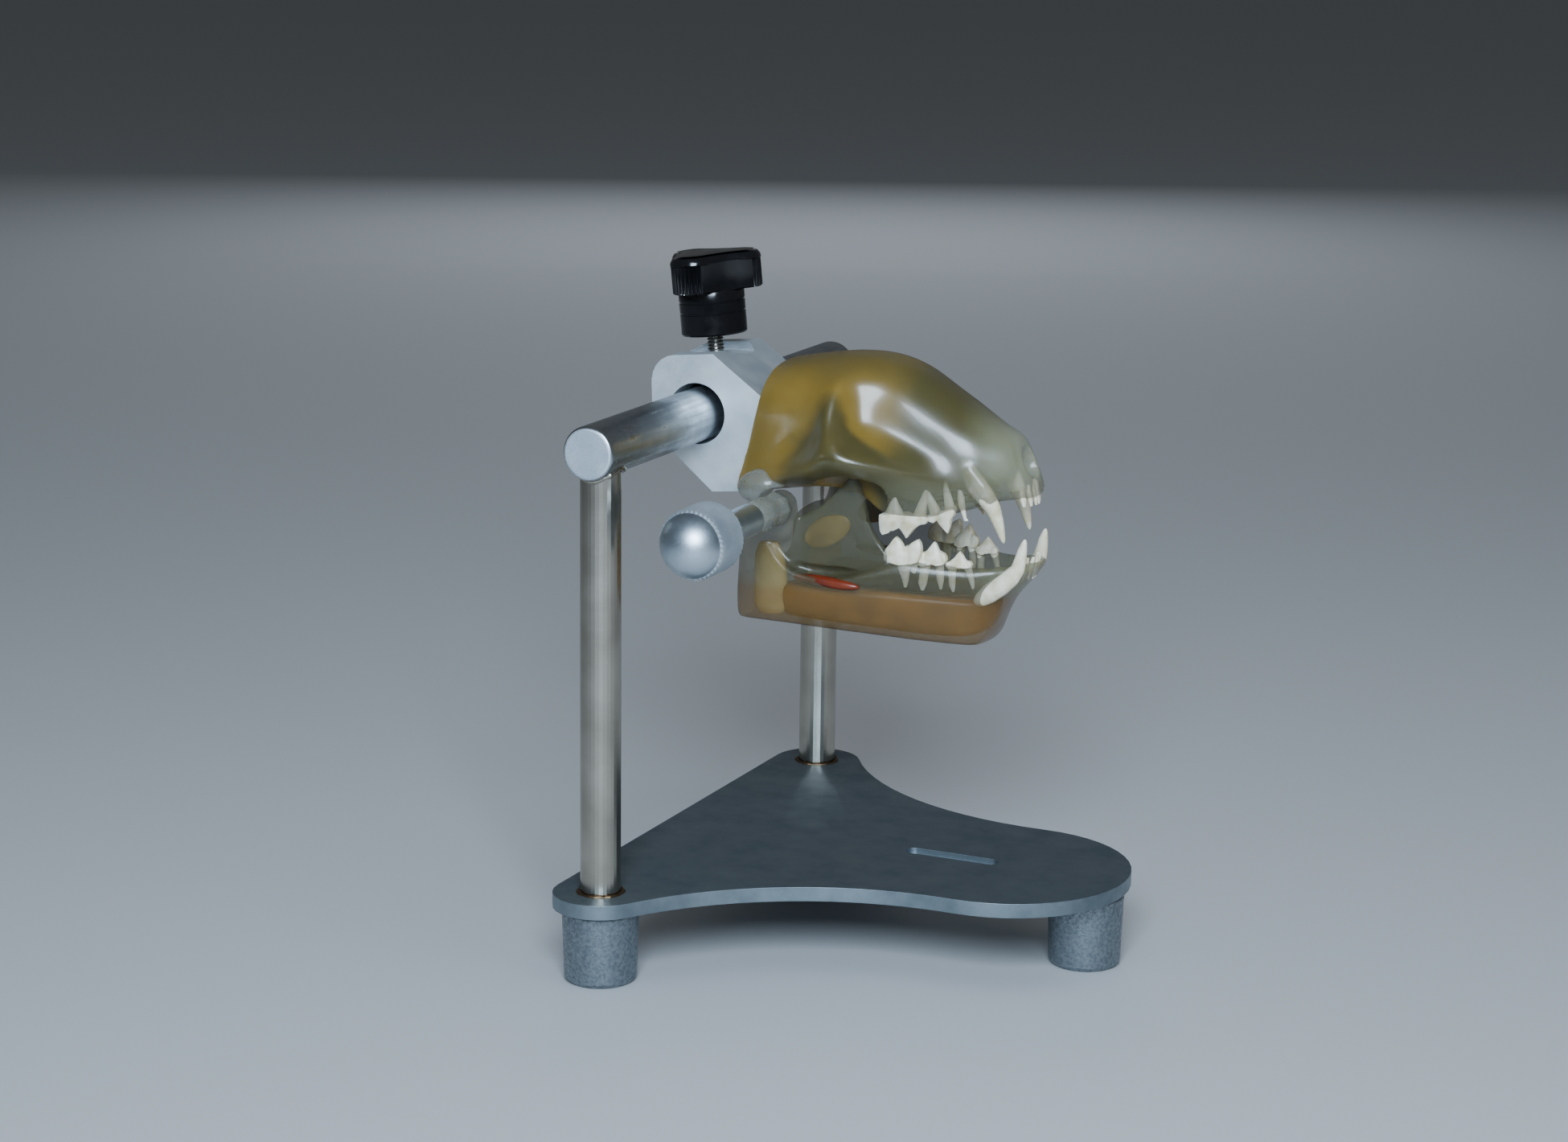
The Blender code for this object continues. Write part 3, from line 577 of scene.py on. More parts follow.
photoView = {"place": (355.57, -744.38, 281.26), "lens": 79.22,      # as worked out from the photo
             "right": (0.90940, 0.41573, 0.01253), "up": (-0.10464, 0.19952, 0.97429),
             "back": (0.40254, -0.88733, 0.22495)}
bpy.ops.object.camera_add()
camera = bpy.context.object
camera.data.lens = photoView["lens"]
camera.data.sensor_width = 36.0
camera.data.clip_start = 0.05
camera.data.clip_end = 60.0
turn = Matrix((photoView["right"], photoView["up"], photoView["back"])).transposed().to_4x4()
camera.matrix_world = Matrix.Translation(at(*photoView["place"])) @ turn
bpy.context.scene.camera = camera

# One soft key above the camera gives the highlights; the others only fill, and the back lamp lifts
# the edges of the resin. Places and sizes are metres in the shared frame.
lamps = {
    "key": {"place": (0.26, -0.65, 0.49), "size": 0.32, "power": 12.5, "tint": "#d8ebff"},
    "overhead": {"place": (0.05, -0.05, 0.80), "size": 0.6, "power": 1.8, "tint": "#f2f7ff"},
    "nose": {"place": (0.80, -0.30, 0.25), "size": 0.4, "power": 1.6, "tint": "#ffffff"},
    "back": {"place": (-0.60, 1.30, 0.55), "size": 0.6, "power": 4.0, "tint": "#eef6ff"}}
lampTarget = Vector((0.0, 0.0, 0.1))
for name, lamp in lamps.items():
    bpy.ops.object.light_add(type="AREA", location=lamp["place"])
    light = bpy.context.object
    light.name = name
    light.data.size = lamp["size"]
    light.data.energy = lamp["power"]
    light.data.color = hexColour(lamp["tint"])[:3]
    light.visible_camera = False
    light.visible_glossy = name == "key"
    light.rotation_euler = (lampTarget - Vector(lamp["place"])).to_track_quat("-Z", "Y").to_euler()
world = bpy.data.worlds.new("studio")
world.use_nodes = True
surroundings = world.node_tree.nodes["Background"]
surroundings.inputs["Color"].default_value = hexColour("#c8ccd0")
surroundings.inputs["Strength"].default_value = 0.17
bpy.context.scene.world = world

activate()
bpy.ops.mesh.primitive_plane_add(size=14.0, location=(0, 0, 0))
floor = bpy.context.object
floor.name = "floor"
floorPaint, _, floorShader = newMaterial("matt studio floor")
setShader(floorShader, Base_Color=hexColour("#a9acae"), Roughness=0.7)
floor.data.materials.append(floorPaint)
print("camera, light and floor ready")


# The stand

# For each node: the piece, its body, metal and slot, the bevel's width and its least angle in degrees
standParts = {"base_plate": ("plateSheet", "stand", plateMetal, "dull_aluminium", 0.35, 40),
              "foot_left": ("castFootLeft", "stand", footMetal, "cast_aluminium", 0.9, 40),
              "foot_right": ("castFootRight", "stand", footMetal, "cast_aluminium", 0.9, 40),
              "foot_front": ("castFootFront", "stand", footMetal, "cast_aluminium", 0.9, 40),
              "crossbar": ("crossRod", "stand", barMetal, "worn_aluminium", 0.45, 40),
              "clamp_block": ("clampBlock", "skull", satinMetalLit, "satin_aluminium", 0.45, 25)}
clampLean = math.radians(6)     # the knob's screw leans back by this
clamp = {"bore": at(0.55, 0, 132.1), "up": Vector((-math.sin(clampLean), 0, math.cos(clampLean))),
         "across": Vector((math.cos(clampLean), 0, math.sin(clampLean))),
         "spotRadius": 9.2, "spotFrom": 12.2, "spotTo": 24.0}
for node, (name, body, metal, slot, bevel, corner) in standParts.items():
    part = cleanCopy(node, name)
    if node == "clamp_block":           # the round face that was milled under the knob
        carve(part, [turnedBody("spotFace", clamp["bore"], clamp["up"],
                                [(clamp["spotRadius"], clamp[end]) for end in ("spotFrom", "spotTo")])])
    applyStep(part, "BEVEL", width=bevel * millimetre, segments=3, limit_method="ANGLE",
              angle_limit=math.radians(corner))
    smoothAll(part, 30)
    applyStep(part, "WEIGHTED_NORMAL", keep_sharp=True)     # keeps the flat faces flat beside their bevels
    settle(part, body, metal, slot, node)
    if node == "crossbar":
        addSecond(part, facedMetal, lambda face: abs(face.normal.y) > 0.9)
for node in ("post_left", "post_right"):
    cadNodes[node].data.materials.clear()
    cadNodes[node].data.materials.append(rodSteel)
    smoothAll(cadNodes[node], 30)

# A hand-laid bead round the top and the foot of each post, uneven along its run
weld = {"steps": 28, "reach": 5.1, "bead": 0.62, "footReach": 5.3, "footBead": 0.5, "sides": 10,
        "ripple": 0.22, "fineRipple": 0.12, "voxel": 0.2, "smoothing": 2}
for side, name in bothSides:
    top, foot = [], []          # the beads under the bar and on the plate
    for i in range(weld["steps"] + 1):
        a = math.tau * i / weld["steps"]
        x, y = weld["reach"] * math.cos(a), side * layout["postY"] + weld["reach"] * math.sin(a)
        swell = 1 + weld["ripple"] * math.sin(7 * a + side) + weld["fineRipple"] * math.sin(16 * a)
        under = layout["barZ"] - math.sqrt(layout["barRadius"] ** 2 - x * x) - 0.1
        top.append((x, y, under, weld["bead"] * swell))
        x, y = weld["footReach"] * math.cos(a), side * layout["postY"] + weld["footReach"] * math.sin(a)
        foot.append((x, y, layout["plateTop"], weld["footBead"] * swell))
    for kind, ring, metal in (("barWeld", top, rodSteel), ("footWeld", foot, stainedWeld)):
        bead = strand("bead", ring, sides=weld["sides"])
        bead = melt(kind + name, [bead], weld["voxel"], weld["smoothing"])
        smoothAll(bead)
        settle(bead, "stand", metal, "brushed_steel")
print("stand ready")


# The clamp's knob
# Three ribbed lobes with smooth flanks between them, on a plain hub with two fine grooves
# In "rings" are height, inset and whether it is ribbed; in "hub", radius and height.

knob = {"lobeRadius": 5.6, "lobeOffset": 7.1, "turn": 24.5, "ribs": 9, "ribArc": 51.0, "ribDepth": 0.65,
        "perRib": 4, "flankFrom": 72.0, "flankSteps": 8, "flankDip": 0.5,
        "rings": [(28.2, 0.5, 0), (28.5, 0.15, 1), (34.9, 0.15, 1), (35.2, 0.0, 0), (36.0, 0.15, 0),
                  (36.8, 0.7, 0), (37.25, 1.5, 0), (37.4, 2.6, 0), (37.2, 3.6, 0), (37.15, 5.0, 0)],
        "hub": [(6.9, 17.4), (7.7, 17.5), (8.0, 17.9), (8.0, 22.6), (7.75, 22.7), (7.75, 23.0), (8.0, 23.1),
                (8.0, 25.3), (7.75, 25.4), (7.75, 25.7), (8.0, 25.8), (8.0, 28.0), (7.8, 28.5)],
        "screw": {"from": 7.0, "to": 17.6, "pitch": 0.8, "crest": 2.05, "root": 1.7}}


def knobOutline(inset, ribbed):
    outline = []
    for lobe in range(3):
        middle = math.radians(knob["turn"]) + math.tau * lobe / 3
        count = knob["ribs"] * knob["perRib"]
        arc = math.radians(knob["ribArc"])
        smooth = [-math.pi / 2, -math.radians(knob["flankFrom"])]
        ribbing = [-arc + 2 * arc * i / count for i in range(count + 1)]
        bends = smooth + ribbing + [-a for a in reversed(smooth)]
        for i, bend in enumerate(bends):
            a = middle + bend
            rib = ribbed * knob["ribDepth"] * (0.5 - 0.5 * math.cos(math.tau * (i - 2) / knob["perRib"]))
            reach = knob["lobeRadius"] - inset - (rib if abs(bend) <= arc else 0.0)
            outline.append((knob["lobeOffset"] * math.cos(middle) + reach * math.cos(a),
                            knob["lobeOffset"] * math.sin(middle) + reach * math.sin(a)))
        following = middle + math.tau / 3
        reach = knob["lobeRadius"] - inset
        start = outline[-1]
        finish = (knob["lobeOffset"] * math.cos(following) + reach * math.sin(following),
                  knob["lobeOffset"] * math.sin(following) - reach * math.cos(following))
        for i in range(1, knob["flankSteps"]):
            t = i / knob["flankSteps"]
            x, y = (start[0] * (1 - t) + finish[0] * t, start[1] * (1 - t) + finish[1] * t)
            dip = 1 - knob["flankDip"] * math.sin(math.pi * t) / math.hypot(x, y)
            outline.append((x * dip, y * dip))
    return outline


head = emptyPiece("knobHead")
for height, inset, ribbed in knob["rings"]:
    outline = knobOutline(inset, ribbed)
    centre = clamp["bore"] + clamp["up"] * height * millimetre
    addOutline(head, [centre + (clamp["across"] * x + Vector((0, y, 0))) * millimetre for x, y in outline])
closeRings(head)
smoothAll(head, 35)
settle(head, "knob", blackPlastic, "black_plastic", "clamp_knob")
hub = turnedBody("knobHub", clamp["bore"], clamp["up"], knob["hub"], 96)
smoothAll(hub, 30)
settle(hub, "knob", blackPlastic, "black_plastic")
thread = knob["screw"]
turns = int((thread["to"] - thread["from"]) / thread["pitch"] * 2)
screw = turnedBody("knobScrew", clamp["bore"], clamp["up"],
                   [(thread["crest"] if i % 2 else thread["root"], thread["from"] + i * thread["pitch"] / 2)
                    for i in range(turns + 1)], 48)
smoothAll(screw, 30)
settle(screw, "knob", screwSteel)
print("clamp knob ready")


# The jaw's knob
# A ball on a neck, with a cross-knurled band behind the ball

jawKnob = {"neck": 3.8, "ball": 7.95, "neckStart": 35.9, "back": 55.4, "bandStart": 56.0, "equator": 65.0,
           "around": 84, "rows": 14, "domeRows": 4, "knurl": 0.42, "domeSteps": 16}
pin = at(layout["hingeX"], 0, layout["hingeZ"])
neck, ballRadius, equator = jawKnob["neck"], jawKnob["ball"], jawKnob["equator"]
rowStep = (equator - jawKnob["bandStart"]) / jawKnob["rows"]
profile = [(neck - 0.3, jawKnob["neckStart"]), (neck, jawKnob["neckStart"] + 0.3), (neck, 46.0),
           (neck * 1.04, 52.0), (neck * 1.2, 55.0), (neck * 1.35, jawKnob["back"]),
           (ballRadius - 0.7, jawKnob["back"]), (ballRadius - 0.25, jawKnob["back"] + 0.2)]
profile += [(ballRadius - 0.1, jawKnob["bandStart"] + rowStep * i) for i in range(jawKnob["rows"] + 1)]
for i in range(1, jawKnob["domeRows"] + 1):     # the knurling runs on a little over the ball
    profile.append((math.sqrt(ballRadius ** 2 - (rowStep * i) ** 2), equator + rowStep * i))
domeStart = math.asin(rowStep * jawKnob["domeRows"] / ballRadius)
for i in range(1, jawKnob["domeSteps"]):
    a = domeStart + (math.pi / 2 - domeStart) * i / jawKnob["domeSteps"]
    profile.append((ballRadius * math.cos(a), equator + ballRadius * math.sin(a)))
ball = turnedBody("jawKnobBall", pin, Vector((0, -1, 0)), profile, jawKnob["around"])
startEdit(ball)


def knurlPoint(co):             # every other corner of the band, as on a chessboard
    row = (-co.y / millimetre - jawKnob["bandStart"]) / rowStep
    column = math.atan2(co.z - pin.z, co.x - pin.x) / math.tau * jawKnob["around"]
    radius = math.hypot(co.x - pin.x, co.z - pin.z) / millimetre
    inBand = 0.5 < row < jawKnob["rows"] + jawKnob["domeRows"] - 0.5 and radius > neck * 1.5
    return inBand and (round(row) + round(column)) % 2 == 0


selectWhere(ball, knurlPoint)
grow = 1 + jawKnob["knurl"] / ballRadius
bpy.ops.transform.resize(value=(grow, 1, grow), center_override=pin)
endEdit(ball)
smoothAll(ball, 14)
settle(ball, "hinge_knob", turnedMetalShaded, "satin_aluminium", "jaw_knob")
bandEnd = equator + rowStep * jawKnob["domeRows"]
addSecond(ball, knurledMetal,
          lambda face: jawKnob["bandStart"] < (pin.y - face.center.y) / millimetre < bandEnd)
print("jaw knob ready")


# The upper skull
# Each station: x, then the half outline as y and z, from the crown down the side, over the
# cheek's edge (the eighth point) and in to the middle of the palate. Between x 38 and 61 the fourth
# to seventh points step in under the crest and out again along a shelf: that is the orbit.

upperShape = {"voxel": 0.48, "firstSmoothing": 4, "smoothing": 3, "cage": [
    (8.0, [(0, 142.4), (5.5, 142.2), (10.4, 141.4), (12.4, 138.0), (12.9, 132.0), (13.3, 126.5),
           (14.4, 121.0), (16.4, 115.4), (15.4, 113.9), (9.0, 113.6), (0, 113.6)]),
    (14.0, [(0, 143.8), (5.8, 143.6), (10.9, 142.5), (13.2, 138.0), (13.9, 132.0), (14.4, 126.5),
            (15.8, 121.0), (17.9, 116.6), (16.5, 114.5), (9.5, 113.8), (0, 113.8)]),
    (20.0, [(0, 145.5), (6.4, 145.2), (12.4, 143.4), (15.8, 138.5), (16.7, 132.5), (17.3, 127.0),
            (18.6, 122.8), (21.0, 118.8), (18.0, 116.4), (10.0, 114.6), (0, 114.4)]),
    (26.0, [(0, 146.8), (6.6, 146.4), (12.8, 144.4), (17.0, 139.5), (17.6, 133.5), (18.2, 128.0),
            (20.6, 124.0), (23.9, 120.4), (20.4, 118.3), (10.5, 115.6), (0, 115.2)]),
    (31.0, [(0, 147.7), (6.4, 147.1), (12.6, 144.9), (17.0, 140.2), (17.6, 134.0), (18.8, 128.8),
            (22.4, 125.2), (26.4, 122.0), (21.4, 119.4), (11.0, 116.4), (0, 116.0)]),
    (35.5, [(0, 148.4), (6.2, 147.8), (12.8, 145.6), (18.8, 141.2), (20.6, 135.4), (22.0, 130.2),
            (24.8, 126.6), (28.0, 123.2), (22.8, 120.4), (11.5, 116.8), (0, 116.4)]),
    (38.6, [(0, 148.5), (6.2, 147.9), (13.0, 145.6), (19.8, 141.4), (22.8, 137.3), (24.8, 134.0),
            (26.4, 130.4), (28.2, 125.6), (23.0, 121.0), (12.0, 116.5), (0, 116.0)]),
    (41.0, [(0, 148.6), (6.4, 148.0), (12.8, 145.4), (15.4, 142.0), (17.2, 137.6), (20.4, 134.0),
            (26.4, 131.6), (28.6, 125.6), (23.2, 121.4), (12.6, 116.0), (0, 115.4)]),
    (43.8, [(0, 148.4), (6.5, 147.9), (12.6, 144.9), (14.0, 141.4), (14.9, 136.4), (16.8, 131.2),
            (26.8, 129.8), (28.6, 125.4), (22.8, 121.6), (13.0, 115.4), (0, 114.6)]),
    (48.0, [(0, 147.8), (5.4, 147.5), (10.4, 144.9), (12.6, 140.6), (14.2, 135.8), (16.2, 130.6),
            (25.2, 127.9), (26.8, 125.0), (20.6, 120.2), (16.6, 112.0), (0, 112.8)]),
    (52.0, [(0, 146.3), (4.8, 146.1), (8.8, 144.7), (12.3, 140.2), (13.8, 135.0), (15.0, 129.6),
            (22.8, 126.6), (24.2, 124.6), (19.0, 118.8), (17.8, 111.0), (0, 111.8)]),
    (56.0, [(0, 144.4), (4.6, 144.2), (8.6, 142.4), (11.8, 138.6), (13.3, 133.8), (14.1, 128.6),
            (20.4, 125.2), (21.4, 123.6), (17.8, 117.6), (17.8, 110.8), (0, 111.5)]),
    (61.0, [(0, 141.3), (4.5, 141.0), (8.4, 139.1), (11.3, 135.6), (12.7, 131.6), (13.5, 127.4),
            (16.4, 123.9), (17.0, 122.2), (16.0, 117.2), (16.4, 111.6), (0, 111.9)]),
    (65.5, [(0, 138.7), (4.4, 138.3), (8.0, 136.8), (10.9, 133.4), (12.3, 129.8), (12.9, 126.2),
            (13.5, 123.4), (13.9, 121.2), (14.1, 117.6), (14.2, 112.9), (0, 113.0)]),
    (70.0, [(0, 135.8), (4.2, 135.3), (7.6, 133.9), (10.2, 131.0), (11.3, 127.9), (11.9, 125.2),
            (12.2, 122.8), (12.4, 120.6), (12.6, 118.0), (12.3, 114.2), (0, 114.3)]),
    (74.5, [(0, 133.2), (3.8, 132.7), (6.4, 131.3), (8.2, 128.9), (9.0, 126.6), (9.5, 124.6),
            (9.9, 122.6), (10.2, 120.4), (10.1, 118.2), (9.2, 116.5), (0, 116.1)]),
    (77.8, [(0, 132.2), (3.0, 131.9), (4.9, 130.8), (6.4, 128.8), (7.3, 126.6), (7.8, 124.4),
            (8.1, 122.2), (8.2, 120.0), (8.0, 118.2), (7.1, 116.9), (0, 116.7)]),
    (79.8, [(0, 128.4), (2.5, 128.2), (4.2, 127.4), (5.6, 126.0), (6.4, 124.5), (6.9, 122.9),
            (7.1, 121.4), (7.1, 119.8), (6.8, 118.3), (6.0, 117.1), (0, 116.8)]),
    (81.8, [(0, 123.4), (2.3, 123.2), (3.9, 122.8), (5.0, 122.1), (5.6, 121.3), (5.8, 120.6),
            (5.9, 119.8), (5.7, 119.1), (5.3, 118.4), (4.6, 117.5), (0, 117.1)]),
    (83.6, [(0, 119.3), (1.6, 119.2), (2.6, 119.1), (3.3, 118.9), (3.7, 118.7), (3.8, 118.5),
            (3.8, 118.3), (3.7, 118.1), (3.5, 117.9), (3.0, 117.7), (0, 117.5)])],
    "swell": [(66.5, 9.0, 127.5, 1.6), (69.5, 10.2, 124.0, 2.3), (73.0, 10.0, 120.2, 2.3),
              (75.6, 9.3, 117.2, 1.9)],
    "socket": [(15.0, 4.5), (40.0, 4.5)],       # of y and radius
    "hollows": {"noseOpening": ((81.0, 0, 125.5), (3.2, 3.4, 4.0)),     # centre, half sizes and tilt
                "palate": ((58.0, 0, 109.8), (17.0, 9.6, 4.6), -7),
                "throat": ((33.0, 0, 110.0), (16.0, 12.0, 7.0))},
    "bladeWay": {"centre": (43.2, 18.6, 117.9), "sizes": (9.2, 5.8, 9.8), "tilt": -12},
    "backFoot": (12.7, 0.0, 114.3), "backLean": 12.1}


def cutBack(piece, foot):
    startEdit(piece)
    lean = math.radians(upperShape["backLean"])
    bpy.ops.mesh.bisect(plane_co=at(*foot), plane_no=(-math.cos(lean), 0, math.sin(lean)),
                        use_fill=True, clear_outer=True)
    endEdit(piece)


def bladeWays(grown):           # room for the jaw's blades as the mouth closes, in the resin and the cores
    way = upperShape["bladeWay"]
    sizes = [size + grown for size in way["sizes"]]
    return [lump("bladeWay", onSide(side, way["centre"]), sizes, way["tilt"]) for side in (1, -1)]


pieces = [cageBody("upperCage", upperShape["cage"], 2)]
for side in (1, -1):
    pieces.insert(0, strand("swell", [onSide(side, station) for station in upperShape["swell"]]))
upper = melt("upperResin", pieces, upperShape["voxel"], upperShape["firstSmoothing"])
cutters = bladeWays(0.0) + [hingeRod("socket", side, upperShape["socket"]) for side in (1, -1)]
cutters += [lump(name, *hollow) for name, hollow in upperShape["hollows"].items()]
carve(upper, cutters)
upper = melt("upperResin", [upper], upperShape["voxel"], upperShape["smoothing"])
cutBack(upper, upperShape["backFoot"])
smoothAll(upper, 40)
settle(upper, "skull", upperResin, "amber_resin", "upper_skull")

padShape = {"centre": (20.4, 18.6, 117.4), "sizes": (6.2, 4.8, 4.2), "tilt": -12, "segments": 24,
            "socket": [(10.0, 4.7), (40.0, 4.7)], "voxel": 0.35, "smoothing": 3}
for side, name in bothSides:    # the clear pad that the jaw's hinge turns in
    pad = lump("jointPad" + name, onSide(side, padShape["centre"]), padShape["sizes"], padShape["tilt"],
               padShape["segments"])
    carve(pad, [hingeRod("socket", side, padShape["socket"])])
    pad = melt("jointPad" + name, [pad], padShape["voxel"], padShape["smoothing"])
    cutBack(pad, upperShape["backFoot"])
    smoothAll(pad, 40)
    settle(pad, "skull", clearResin, "amber_resin")


# The cage's own stations from first to last, drawn in and moved back for a core under the resin
def shrunkCage(first, last, widths, lift, sink, back):
    stations = []
    for x, half in upperShape["cage"]:
        if first <= x <= last:
            stations.append((x - back, [(y * widths, z - sink if i < 4 else max(z, half[9][1] + lift))
                                        for i, (y, z) in enumerate(half)]))
    return stations


coreShapes = {
    "upperCore": {"first": 14.0, "last": 43.8, "widths": 0.84, "lift": 3.0, "sink": 1.6, "back": 1.2},
    "muzzleCore": {"first": 43.8, "last": 77.8, "widths": 0.66, "lift": 3.2, "sink": 1.6, "back": 1.0}}
coreFit = {"bladeRoom": 1.6, "voxel": 0.8, "backFoot": (15.4, 0.0, 114.3),
           "noseOpening": ((81.0, 0, 125.5), (4.8, 5.0, 5.6))}
upperCore = cageBody("upperCore", shrunkCage(**coreShapes["upperCore"]), 2)
carve(upperCore, bladeWays(coreFit["bladeRoom"]))
upperCore = melt("upperCore", [upperCore], coreFit["voxel"], 2)
cutBack(upperCore, coreFit["backFoot"])
smoothAll(upperCore, 40)
settle(upperCore, "skull", amberCore, "amber_resin")

# The muzzle's olive core is painted shade: it darkens the clear muzzle as dark surroundings seen through it
# would.
muzzleCore = cageBody("muzzleCore", shrunkCage(**coreShapes["muzzleCore"]), 2)
carve(muzzleCore, bladeWays(coreFit["bladeRoom"]) + [lump("noseOpening", *coreFit["noseOpening"])])
muzzleCore = melt("muzzleCore", [muzzleCore], coreFit["voxel"], 3)
smoothAll(muzzleCore)
settle(muzzleCore, "skull", oliveShadeCore, "amber_resin")
print("upper skull ready")


# The lower jaw
# Half outlines again, from the middle of the underside out, up to the outer crest (the fifth and
# sixth points), in over the ledge, up to the tooth row and down to the floor of the trough.

